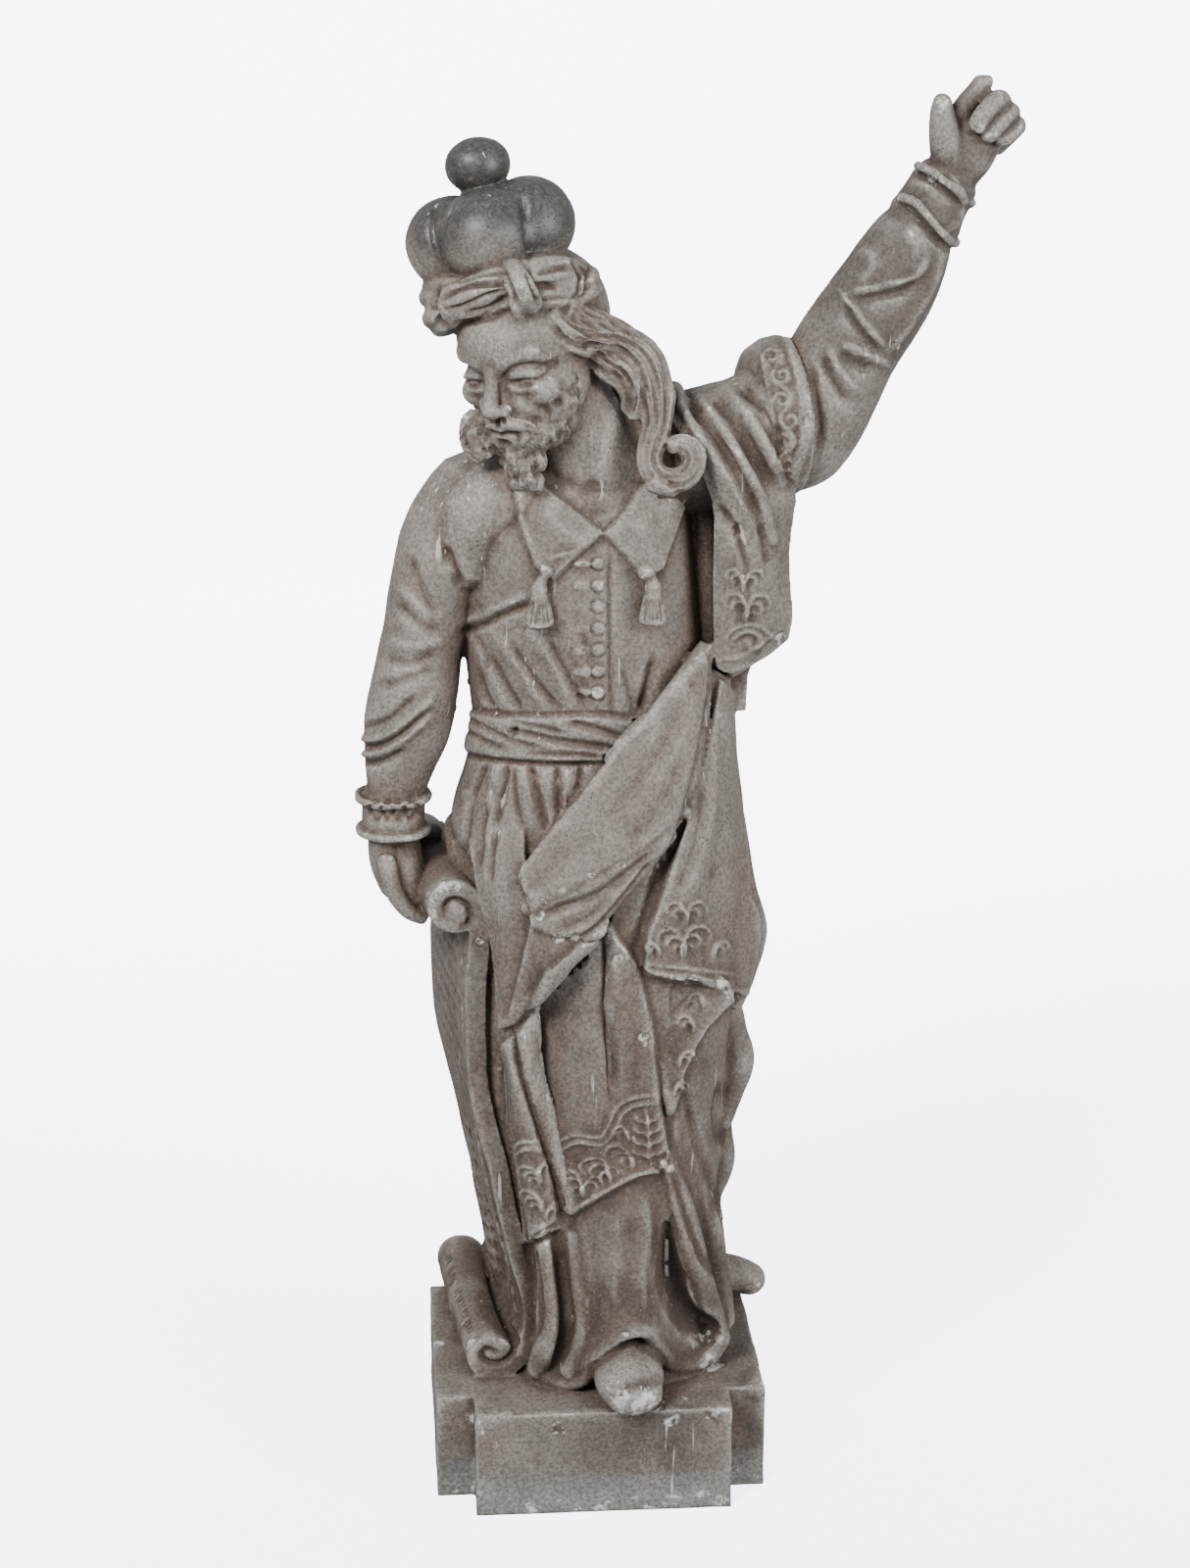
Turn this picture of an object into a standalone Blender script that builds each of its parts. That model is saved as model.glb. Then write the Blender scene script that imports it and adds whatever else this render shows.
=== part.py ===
# Soapstone statue of a robed prophet with a scroll, carved with its plinth from one block.
# Metres, +Z up. The origin is the centre of the plinth's underside and the figure faces -Y.

import math

import bpy
import numpy as np

# Driving sizes, in metres
STATUE_HEIGHT = 1.180
PLINTH_WIDTH = 0.280
PLINTH_DEPTH = 0.286
PLINTH_HEIGHT = 0.093
PLINTH_CORNER_WIDTH = 0.032
PLINTH_CORNER_DEPTH = 0.036

# The carving is drawn on a sheet of 1181 units, sole of the plinth to fingertip, 93 of them plinth.
SHEET_TOP = 1181.0
SHEET_PLINTH = 93.0
UNIT = (STATUE_HEIGHT - PLINTH_HEIGHT) / (SHEET_TOP - SHEET_PLINTH)

# Size of the cells that join the shapes, and the facets kept, on the same sheet
CELL = 4.6
FACETS = 9300

# A point on the sheet is (x, z), and a shape's depth moves it along the line of sight from here.
EYE = np.array([-187.0, -2642.0, 1436.0])

STONE = (0.23, 0.215, 0.195, 1.0)
ROUGHNESS = 0.72


def at(x, z, y=0.0):
    """The point at depth y that is seen over (x, z) of the sheet."""
    x, z, y = np.broadcast_arrays(*(np.asarray(v, float) for v in (x, z, y)))
    s = 1 - y / EYE[1]
    return np.stack([EYE[0] + (x - EYE[0]) * s, y, EYE[2] + (z - EYE[2]) * s], -1)


def seen(points):
    """The place on the sheet over which points are seen."""
    s = -EYE[1] / (points[:, 1] - EYE[1])
    x = EYE[0] + (points[:, 0] - EYE[0]) * s
    z = EYE[2] + (points[:, 2] - EYE[2]) * s
    return np.stack([x, z], -1)


def rows_at(rows):
    """Rows of (x, z, depth, ...) on the sheet made points, the other columns kept."""
    r = np.array(rows, float)
    return np.hstack([at(r[:, 0], r[:, 1], r[:, 2]), r[:, 3:]])


def eased(points, count):
    """A smooth line of count places through the points."""
    p = np.asarray(points, float)
    ends = np.concatenate([2 * p[:1] - p[1:2], p, 2 * p[-1:] - p[-2:-1]])
    t = np.linspace(0, len(p) - 1, count)
    i = np.minimum(t.astype(int), len(p) - 2)
    f = (t - i).reshape((-1,) + (1,) * (p.ndim - 1))
    a, b, c, d = ends[i], ends[i + 1], ends[i + 2], ends[i + 3]
    bend = (2 * a - 5 * b + 4 * c - d) * f**2 + (3 * b - a - 3 * c + d) * f**3
    return 0.5 * (2 * b + (c - a) * f + bend)


def unit(v):
    return v / np.maximum(np.linalg.norm(v, axis=-1, keepdims=True), 1e-9)


def turned(yaw, nod, lean):
    """Axes of a head turned about Z, then nodded forward and leant to its right, in degrees."""
    a, b, c = np.radians([yaw, nod, lean])
    rz = [[math.cos(a), -math.sin(a), 0], [math.sin(a), math.cos(a), 0], [0, 0, 1]]
    rx = [[1, 0, 0], [0, math.cos(b), -math.sin(b)], [0, math.sin(b), math.cos(b)]]
    ry = [[math.cos(c), 0, math.sin(c)], [0, 1, 0], [-math.sin(c), 0, math.cos(c)]]
    return np.array(ry) @ np.array(rz) @ np.array(rx)


class Clay:
    """Closed shapes that overlap each other, gathered to be joined."""

    def __init__(self):
        self.points = []
        self.faces = []
        self.total = 0

    def add(self, points, faces):
        points = np.asarray(points, float).reshape(-1, 3)
        self.faces += [[i + self.total for i in f] for f in faces]
        self.points.append(points)
        self.total += len(points)

    def rings(self, rings):
        """A skin through rings of points, each end closed."""
        r = np.asarray(rings, float)
        n, m = r.shape[:2]
        faces = []
        for i in range(n - 1):
            for j in range(m):
                k = (j + 1) % m
                faces.append([i * m + j, i * m + k, (i + 1) * m + k, (i + 1) * m + j])
        faces.append(list(range(m))[::-1])
        faces.append(list(range((n - 1) * m, n * m)))
        self.add(r, faces)

    def tube(self, rows, side=(0.3, -1.0, 0.2), sides=14, step=6.0):
        """A round-ended limb through rows of (x, z, depth, radius across the side, other radius)."""
        r = rows_at(rows)
        length = np.linalg.norm(np.diff(r[:, :3], axis=0), axis=1).sum()
        r = eased(r, max(4, int(length / step) + 2))
        p, wide, thick = r[:, :3], r[:, 3], r[:, -1]
        t = unit(np.gradient(p, axis=0))
        s = unit(np.array(side) - t * (t @ np.array(side))[:, None])
        u = np.cross(t, s)
        places = []
        for angle in (15, 40, 65):
            c, back = math.sin(math.radians(angle)), math.cos(math.radians(angle))
            places.append((p[0] - back * min(wide[0], thick[0]) * t[0], c, 0))
        places += [(p[i], 1, i) for i in range(len(p))]
        for angle in (65, 40, 15):
            c, back = math.sin(math.radians(angle)), math.cos(math.radians(angle))
            places.append((p[-1] + back * min(wide[-1], thick[-1]) * t[-1], c, -1))
        a = np.linspace(0, 2 * math.pi, sides, endpoint=False)
        across, along = np.cos(a)[:, None], np.sin(a)[:, None]
        self.rings([q + c * (across * wide[i] * s[i] + along * thick[i] * u[i]) for q, c, i in places])

    def ball(self, centre, radii, axes=None):
        lat = np.radians(np.arange(-80, 81, 10))[:, None]
        lon = np.radians(np.arange(0, 360, 12))[None, :]
        q = np.stack([np.cos(lat) * np.cos(lon), np.cos(lat) * np.sin(lon), np.sin(lat) + 0 * lon], -1)
        q = q * np.broadcast_to(radii, (3,))
        if axes is not None:
            q = q @ axes.T
        self.rings(q + centre)

    def barrel(self, rows, power=2.3, sides=40, folds=None):
        """A body through rows of (z, left, right, front, back), each a rounded oblong."""
        r = eased(np.array(rows, float), 60)
        a = np.linspace(0, 2 * math.pi, sides, endpoint=False)
        c, s = np.cos(a), np.sin(a)
        c = np.sign(c) * np.abs(c) ** (2 / power)
        s = np.sign(s) * np.abs(s) ** (2 / power)
        rings = []
        for z, left, right, front, back in r:
            k = 1 + (folds(a, z) if folds else 0)
            x = (left + right) / 2 + c * k * (right - left) / 2
            y = (front + back) / 2 + s * k * (back - front) / 2
            rings.append(np.stack([x, y, np.full(sides, z)], -1))
        self.rings(rings)

    def slab(self, outline, near, far):
        """An outline on the sheet carried from one depth to another; depths may differ by corner."""
        o = np.array(outline, float)
        self.rings([at(o[:, 0], o[:, 1], near), at(o[:, 0], o[:, 1], far)])

    def cloth(self, net, thick, size=(24, 24)):
        """A cloth of even thickness over a net of (x, z, depth) on the sheet."""
        g = np.array(net, float)
        g = at(g[..., 0], g[..., 1], g[..., 2])
        g = np.swapaxes(eased(np.swapaxes(eased(g, size[0]), 0, 1), size[1]), 0, 1)
        n = unit(np.cross(np.gradient(g, axis=0), np.gradient(g, axis=1)))
        h, w = g.shape[:2]
        i = np.arange(h * w).reshape(h, w)
        top = np.stack([i[:-1, :-1], i[1:, :-1], i[1:, 1:], i[:-1, 1:]], -1).reshape(-1, 4)
        rim = np.concatenate([i[0], i[1:, -1], i[-1, -2::-1], i[-2:0:-1, 0]])
        after = np.roll(rim, -1)
        faces = top.tolist() + (top[:, ::-1] + h * w).tolist()
        faces += np.stack([rim, after, after + h * w, rim + h * w], -1).tolist()
        self.add(np.concatenate([g + n * thick / 2, g - n * thick / 2]).reshape(-1, 3), faces)

    def mesh(self):
        mesh = bpy.data.meshes.new("clay")
        mesh.from_pydata(np.vstack(self.points).tolist(), [], self.faces)
        return mesh


def placed(mesh, name):
    obj = bpy.data.objects.new(name, mesh)
    bpy.context.scene.collection.objects.link(obj)
    return obj


def finished(obj):
    """The mesh an object's modifiers give; the object goes."""
    bpy.context.view_layer.update()
    graph = bpy.context.evaluated_depsgraph_get()
    mesh = bpy.data.meshes.new_from_object(obj.evaluated_get(graph))
    bpy.data.objects.remove(obj)
    return mesh


def joined(mesh, cell):
    """One skin round all the shapes, its cells softened."""
    obj = placed(mesh, "joined")
    remesh = obj.modifiers.new("join", "REMESH")
    remesh.mode = "VOXEL"
    remesh.voxel_size = cell
    soft = obj.modifiers.new("soften", "SMOOTH")
    soft.factor = 0.5
    soft.iterations = 2
    return finished(obj)


def vectors(mesh, kind):
    v = np.empty(len(mesh.vertices) * 3, np.float32)
    mesh.vertices.foreach_get(kind, v)
    return v.reshape(-1, 3).astype(float)


def distance_to_line(places, line):
    """How far each place on the sheet is from a line, and how far along the line, 0 to 1."""
    best = np.full(len(places), 1e9)
    along = np.zeros(len(places))
    lengths = np.linalg.norm(np.diff(line, axis=0), axis=1)
    start = np.concatenate([[0], np.cumsum(lengths)])
    for a, b, s, n in zip(line, line[1:], start, lengths):
        t = np.clip((places - a) @ (b - a) / max(n * n, 1e-9), 0, 1)
        d = np.linalg.norm(places - a - t[:, None] * (b - a), axis=1)
        near = d < best
        best[near] = d[near]
        along[near] = (s + t[near] * n) / start[-1]
    return best, along


def inside(places, outline):
    """Whether places on the sheet lie in an outline."""
    x, z = places[:, 0], places[:, 1]
    found = np.zeros(len(places), bool)
    for (x0, z0), (x1, z1) in zip(outline, np.roll(outline, -1, 0)):
        if z0 != z1:
            cross = x0 + (z - z0) * (x1 - x0) / (z1 - z0)
            found ^= ((z0 > z) != (z1 > z)) & (x < cross)
    return found


def in_front(points, normals, places, reach=20.0, cell=6.0):
    """Which points face the eye with nothing before them."""
    key = np.round(places / cell).astype(int)
    key -= key.min(0)
    flat = key[:, 0] * (key[:, 1].max() + 1) + key[:, 1]
    nearest = np.full(flat.max() + 1, 1e9)
    depth = np.linalg.norm(points - EYE, axis=1)
    np.minimum.at(nearest, flat, depth)
    facing = np.einsum("ij,ij->i", normals, EYE - points) > 0
    return facing & (depth < nearest[flat] + reach)


def carve(mesh, strokes, layers):
    """Works the skin: strokes are ridges or grooves along lines, layers are areas raised as cloth."""
    points = vectors(mesh, "co")
    normals = vectors(mesh, "normal")
    places = seen(points)
    front = np.flatnonzero(in_front(points, normals, places))
    q = places[front]
    move = np.zeros(len(front))
    for height, outline in layers:
        o = np.array(outline, float)
        edge, _ = distance_to_line(q, np.vstack([o, o[:1]]))
        edge = np.where(inside(q, o), edge, -edge)
        move += height * np.clip((edge + 2.5) / 5, 0, 1)
    for height, width, line in strokes:
        path = eased(np.array(line, float), 6 * len(line))
        low, high = path.min(0) - 2 * width, path.max(0) + 2 * width
        near = np.flatnonzero(((q > low) & (q < high)).all(1))
        d, along = distance_to_line(q[near], path)
        fade = np.minimum(1, np.minimum(along, 1 - along) * 5 + 0.25)
        move[near] += height * fade * np.exp(-((d / (0.6 * width)) ** 2))
    points[front] += normals[front] * move[:, None]
    mesh.vertices.foreach_set("co", points.astype(np.float32).ravel())
    mesh.update()


# Pieces of the figure, each a set of shapes that run into the next


def back_folds(a, z):
    """Plain upright folds round the back of the robe, fading out above the belt."""
    low = min(1, max(0, (660 - z) / 200))
    behind = np.clip(np.sin(a) * 1.4, 0, 1)
    return low * behind * (0.04 * np.cos(9 * a + 0.004 * z) + 0.02 * np.cos(14 * a - 0.006 * z + 1))


def body(clay):
    clay.barrel([(80, -40, 106, -98, 96), (110, -42, 106, -98, 92), (150, -46, 108, -98, 85),
                 (220, -58, 104, -98, 84),
                 (300, -68, 112, -98, 86), (380, -72, 116, -98, 88), (450, -72, 120, -100, 90),
                 (520, -92, 120, -102, 90), (570, -118, 116, -97, 86), (620, -106, 108, -86, 78),
                 (660, -99, 98, -78, 72), (720, -105, 90, -82, 74), (780, -107, 84, -84, 76),
                 (830, -108, 80, -78, 74), (868, -98, 78, -64, 68), (895, -72, 72, -48, 58)],
                folds=back_folds)
    # stone left between the scroll and the robe, and behind the hanging cape
    clay.slab([(-100, 520), (-97, 400), (-97, 300), (-80, 220), (-60, 110), (-20, 110),
               (-20, 520)], -46, 20)
    clay.tube([(-58, 580, 26, 28), (-72, 510, 34, 31), (-78, 400, 42, 34), (-76, 300, 46, 34),
               (-64, 200, 48, 32),
               (-48, 100, 46, 30)])
    clay.slab([(60, 880), (128, 880), (124, 700), (100, 672), (60, 672)], 0, 44)
    # the cloth that rises to the lifted arm, and the other shoulder
    clay.tube([(30, 868, -8, 40, 50), (75, 880, -6, 44, 50), (118, 890, -8, 46, 50)])
    clay.tube([(0, 862, -4, 44, 52), (-60, 850, -2, 42, 50), (-102, 832, -2, 38, 44)])
    clay.tube([(-58, 846, -30, 36, 38), (-88, 834, -30, 36, 36), (-102, 800, -30, 30, 30)])
    clay.tube([(-52, 884, 0, 26), (-76, 872, -8, 21)])
    # plain folds of the mantle across the back
    for k in range(5):
        z = 862 - 48 * k
        clay.tube([(98 - 2 * k, z, 42, 6), (50, z - 44, 68, 9), (0, z - 80, 74, 10), (-50, z - 106, 69, 9),
                   (-98, z - 122, 40, 6)])


HEAD_AXES = turned(-38, 12, -9)
HEAD_MIDDLE = at(-48, 970, -40)
HEAD_BALLS = (
    ((0, 10, 14), (56, 72, 60)),
    ((0, -14, -18), (49, 46, 50)),
    ((0, -22, -52), (38, 39, 26)),
    ((0, -46, -65), (15, 15, 13)),
    ((0, -42, 16), (40, 16, 15)),
    ((0, -42, -30), (30, 24, 24)),
    ((-24, -45, -4), (12, 10.5, 9)),
    ((24, -45, -4), (12, 10.5, 9)),
    ((-30, -41, -18), (15, 14, 13)),
    ((30, -41, -18), (15, 14, 13)),
    ((0, -54, -43), (20, 14, 12)),
)


def on_head(x, y, z):
    """A point in the head's own axes: x to its left, -y forward, z up from the eyes."""
    return HEAD_MIDDLE + HEAD_AXES @ np.array([x, y, z], float)


def sheet_rows(points, radii):
    """Points in space as rows of (x, z, depth, radius) on the sheet."""
    points = np.array(points, float)
    radii = np.broadcast_to(radii, (len(points),))
    return [(x, z, y, r) for (x, z), y, r in zip(seen(points), points[:, 1], radii)]


def skin_of_head(degrees, z, out=0.0):
    """Where a level ray, this many degrees from straight ahead, leaves the head's balls."""
    a = math.radians(degrees)
    way = np.array([math.sin(a), -math.cos(a), 0])
    start = np.array([0, -15.0, z])
    far = 0.0
    for centre, radii in HEAD_BALLS:
        d, o = way / radii, (start - centre) / np.array(radii)
        half = (d @ o) ** 2 - (d @ d) * (o @ o - 1)
        if half > 0:
            far = max(far, (math.sqrt(half) - d @ o) / (d @ d))
    return on_head(*(start + way * (far + out)))


def head(clay):
    clay.tube([(18, 846, -20, 42, 44), (-4, 884, -30, 38, 42), (-26, 926, -32, 36, 40)])
    for centre, radii in HEAD_BALLS:
        clay.ball(on_head(*centre), radii, HEAD_AXES)
    # the beard's thickness along the jaw
    for degrees in range(-70, 71, 7):
        rise = 30 * (abs(degrees) / 84) ** 1.5
        path = [skin_of_head(degrees, rise - 50, -4), skin_of_head(degrees, rise - 62, -3)]
        clay.tube(sheet_rows(path, (4, 6)), step=3)
    # nose: ridge, tip and wings
    path = [on_head(0, -57, 9), on_head(0, -64, -4), on_head(0, -73, -20)]
    clay.tube(sheet_rows(path, (6, 5.5, 6.5)), step=3)
    clay.ball(on_head(0, -73, -22), (7.5, 7.5, 6.5), HEAD_AXES)
    for side in (-1, 1):
        clay.ball(on_head(side * 8, -66, -24), (5.5, 7, 5), HEAD_AXES)
    # lips
    clay.ball(on_head(0, -66, -40), (11, 5, 2.8), HEAD_AXES)
    clay.ball(on_head(0, -65, -46), (9, 5, 3.4), HEAD_AXES)


def beard(clay):
    """The moustache, and the parted tuft of the chin."""
    for side in (-1, 1):
        path = [on_head(side * 2, -69, -34), on_head(side * 11, -66, -36), on_head(side * 20, -58, -42),
                on_head(side * 25, -51, -54)]
        clay.tube(sheet_rows(path, (2.5, 3.8, 3.8, 2.4)), step=3)
        path = [on_head(side * 4, -57, -66), on_head(side * 6, -60, -76), on_head(side * 9, -58, -85),
                on_head(side * 13, -56, -92)]
        clay.tube(sheet_rows(path, (5, 6.5, 5.5, 3)), step=3)
    path = [on_head(0, -61, -52), on_head(0, -63, -60), on_head(1, -61, -72), on_head(-1, -57, -82)]
    clay.tube(sheet_rows(path, (3, 4.5, 6, 4)), step=3)


HAT_AXES = turned(0, -13, -8)
HAT_MIDDLE = at(-66, 1010, -32)


def on_hat(x, y, z):
    return HAT_MIDDLE + HAT_AXES @ np.array([x, y, z], float)


def hat(clay):
    clay.ball(on_hat(0, 0, 2), (58, 58, 18), HAT_AXES)
    for k, size in enumerate((39, 36, 36, 36, 36)):
        a = math.radians(-98 + 72 * k)
        clay.ball(on_hat(30 * math.cos(a) - 6, 31 * math.sin(a), 46), (size, size, 37), HAT_AXES)
        clay.ball(on_hat(25 * math.cos(a) - 4, 25 * math.sin(a), 26), (size - 6, size - 6, 28), HAT_AXES)
    clay.ball(on_hat(-7, -2, 76), (19, 19, 16), HAT_AXES)
    clay.ball(on_hat(-9, -4, 100), (25, 25, 21), HAT_AXES)
    # the strap that ties the band
    clay.tube([(-65, 1035, -88, 7, 4), (-61, 1024, -104, 11, 6), (-53, 1010, -107, 11, 6),
               (-46, 1000, -100, 8, 4)],
              side=(1, 0, 0.5))
    clay.tube([(-63, 1014, -105, 5), (-60, 1002, -104, 5.5), (-58, 992, -97, 4)])


def hat_band(clay):
    """Two cloth strands side by side round the brow, slipping over each other."""
    for start in (0.0, math.pi):
        path = []
        for a in np.radians(np.arange(-100, 261, 8)):
            slip = 1.5 * a + start
            path.append(on_hat((54 + 4 * math.cos(slip)) * math.cos(a),
                               (52 + 4 * math.cos(slip)) * math.sin(a),
                               8.5 * math.sin(slip)))
        clay.tube(sheet_rows(path, 15.5), side=(0.1, 0.2, 1.0))


LOCKS = [
    [(-34, 996, -88, 5), (-24, 982, -86, 9), (-8, 974, -76, 11), (10, 973, -64, 12), (26, 969, -56, 12),
     (40, 958, -53, 13), (48, 940, -55, 13), (51, 922, -60, 12), (52, 904, -66, 10), (48, 888, -72, 9),
     (46, 874, -78, 8), (51, 863, -82, 8), (62, 858, -83, 8), (75, 860, -81, 8.5), (83, 871, -77, 8),
     (79, 883, -74, 7.5), (70, 888, -74, 6.5), (61, 885, -76, 5)],
    [(-22, 998, -82, 7), (-8, 990, -70, 9), (8, 982, -58, 11), (22, 976, -50, 10), (34, 966, -46, 9)],
    [(-30, 986, -90, 4), (-18, 971, -88, 5), (-4, 966, -80, 5), (8, 966, -70, 5)],
    [(-2, 966, -66, 6), (12, 957, -68, 7), (26, 951, -66, 8), (36, 938, -64, 8), (37, 922, -64, 6),
     (33, 908, -62, 4)],
    [(2, 960, -60, 6), (12, 948, -62, 7), (24, 940, -60, 7), (30, 928, -58, 6), (29, 914, -56, 4)],
    [(-92, 914, -46, 7), (-97, 904, -52, 9), (-98, 893, -56, 9), (-94, 883, -60, 8), (-87, 877, -62, 6)],
    [(-84, 912, -54, 6), (-88, 900, -60, 8), (-86, 888, -64, 8), (-82, 878, -64, 5)],
]


def hair(clay):
    """Long locks that fall to the shoulders, one ending in a curl, and plain ones down the nape."""
    clay.ball(at(-26, 956, 12), (42, 44, 46))
    for rows in LOCKS:
        clay.tube(rows, step=4)
    for k in range(8):
        clay.tube([(9 * k - 52, 984, 36, 10), (10 * k - 42, 944, 48, 13), (14 * k - 46, 902, 54, 12),
                   (16 * k - 52, 868, 58, 10), (17 * k - 58, 848, 58, 4)])


def lifted_arm(clay):
    # wide upper sleeve ending in a rim, with the forearm's sleeve coming out of it
    bell = []
    a = np.linspace(0, 2 * math.pi, 60, endpoint=False)[:, None]
    for x, z, out, front, high in ((62, 878, 2, 40, 44), (96, 884, 5, 46, 48), (123, 891, 9, 51, 53),
                                   (129, 895, 11, 53, 54), (133, 902, 13, 61, 63), (144, 907, 15, 62, 66),
                                   (157, 911, 16, 60, 65)):
        bell.append(at(x, z, -12) + np.cos(a) * [out, -front, 0] + np.sin(a) * [-4, -4, high])
    clay.rings(bell)
    clay.tube([(140, 892, -8, 52, 44), (162, 905, -12, 56, 46), (178, 920, -14, 50, 44),
               (192, 940, -18, 44, 42),
               (209, 971, -20, 42, 38), (236, 1011, -22, 40, 36), (254, 1046, -24, 34, 32),
               (263, 1062, -24, 28, 28)],
              side=(-0.8, 0, 0.55))
    # turned-back cuff with its two rims
    clay.tube([(266, 1068, -25, 30, 28), (272, 1080, -25, 27, 26), (279, 1091, -25, 27, 26)],
              side=(-0.8, 0, 0.55))
    clay.tube([(247, 1084, -40, 4), (258, 1080, -50, 4), (270, 1067, -54, 4), (282, 1053, -50, 4),
               (291, 1048, -36, 4)])
    clay.tube([(259, 1109, -38, 4), (270, 1104, -49, 4), (282, 1094, -53, 4), (293, 1085, -49, 4),
               (303, 1079, -36, 4)])


def lifted_hand(clay):
    clay.tube([(280, 1086, -26, 18, 16), (286, 1100, -27, 20, 15), (294, 1118, -28, 26, 15),
               (300, 1134, -28, 27, 14)], side=(-0.8, 0, 0.5))
    clay.tube([(284, 1112, -32, 14), (280, 1132, -38, 13), (277, 1150, -40, 10), (277, 1158, -40, 8)])
    clay.tube([(287, 1136, -28, 12), (293, 1152, -28, 10), (302, 1164, -28, 9), (309, 1174, -28, 8)])
    for finger in ([(308, 1142, -18, 9), (322, 1157, -24, 9.5), (319, 1158, -38, 8.5), (311, 1150, -46, 8),
                    (306, 1142, -47, 8)],
                   [(316, 1134, -18, 9), (331, 1149, -24, 8), (329, 1148, -36, 7.5), (322, 1140, -43, 7),
                    (315, 1133, -45, 6.5)],
                   [(322, 1124, -18, 8), (338, 1139, -24, 6.5), (337, 1138, -34, 6.5), (331, 1132, -40, 6),
                    (325, 1129, -41, 5.5)]):
        clay.tube(finger, step=2)


def lowered_arm(clay):
    clay.tube([(-98, 846, -4, 38, 44), (-118, 812, -8, 38, 44), (-129, 770, -10, 37, 42),
               (-139, 728, -12, 34, 38),
               (-146, 690, -14, 36, 38), (-153, 655, -14, 36, 36), (-160, 622, -14, 29, 30),
               (-163, 600, -14, 24, 26)], side=(1, 0, 0))
    # cuff with a rim above and below
    clay.tube([(-165, 592, -14, 26, 27), (-166, 574, -14, 26, 27)], side=(1, 0, 0))
    for z, out in ((595, 29.5), (566, 28.5)):
        a = np.linspace(0, 2 * math.pi, 33)
        ring = at(-166, z, -14) + np.stack([out * np.cos(a), (out + 1) * np.sin(a), 0 * a], -1)
        clay.tube(sheet_rows(ring, 3.6), side=(0, 0, 1), sides=12)


def lowered_hand(clay):
    clay.tube([(-171, 566, -14, 16, 18), (-172, 540, -16, 15, 24), (-168, 518, -18, 12, 26)],
              side=(1, 0, 0))
    for y in (-42, -27, -12, 3):
        clay.tube([(-172, 536, y, 8), (-167, 512, y - 2, 7.5), (-156, 494, y - 2, 7),
                   (-144, 486, y, 5.5)], step=2)
    clay.tube([(-165, 552, 16, 9), (-148, 560, 26, 9), (-132, 562, 32, 8)])


def scroll(clay):
    back = np.array([-25.0, 191.0, 0.0])
    line = eased([(-103, 505), (-95, 488), (-95, 460), (-98, 430), (-99, 400), (-98, 350), (-95, 318),
                  (-88, 285), (-80, 252), (-74, 218), (-67, 185), (-60, 155), (-53, 128), (-52, 106),
                  (-57, 86), (-66, 70), (-80, 60), (-92, 60)], 120)
    ends = unit(np.gradient(line, axis=0)) @ np.array([[0, 1], [-1, 0]])
    wide = np.linspace(9, 8, len(line))[:, None]
    outline = np.vstack([line + ends * wide, (line - ends * wide)[::-1]])
    near = at(outline[:, 0], outline[:, 1], -71)
    clay.rings([near, near + back])
    top, low = at(-115, 494, -71), at(-89, 73, -71)
    for start, radius, end in ((top, 22.5, top + [-27, 185, 0]), (low, 20, low + back + [6, 14, 0])):
        a = np.linspace(0, 2 * math.pi, 60, endpoint=False)
        ring = np.stack([np.cos(a), 0 * a, np.sin(a)], -1) * radius
        clay.rings([start + ring, (start + end) / 2 + ring * 1.15, end + ring * 1.1])


def feet(clay):
    clay.tube([(31, 66, -100, 29, 27), (33, 47, -130, 29, 22), (38, 30, -147, 24, 15)], side=(1, 0, 0))
    clay.tube([(100, 150, 62, 20, 22), (126, 147, 64, 18, 17), (138, 143, 64, 16, 15)], side=(0, 1, 0))


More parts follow.
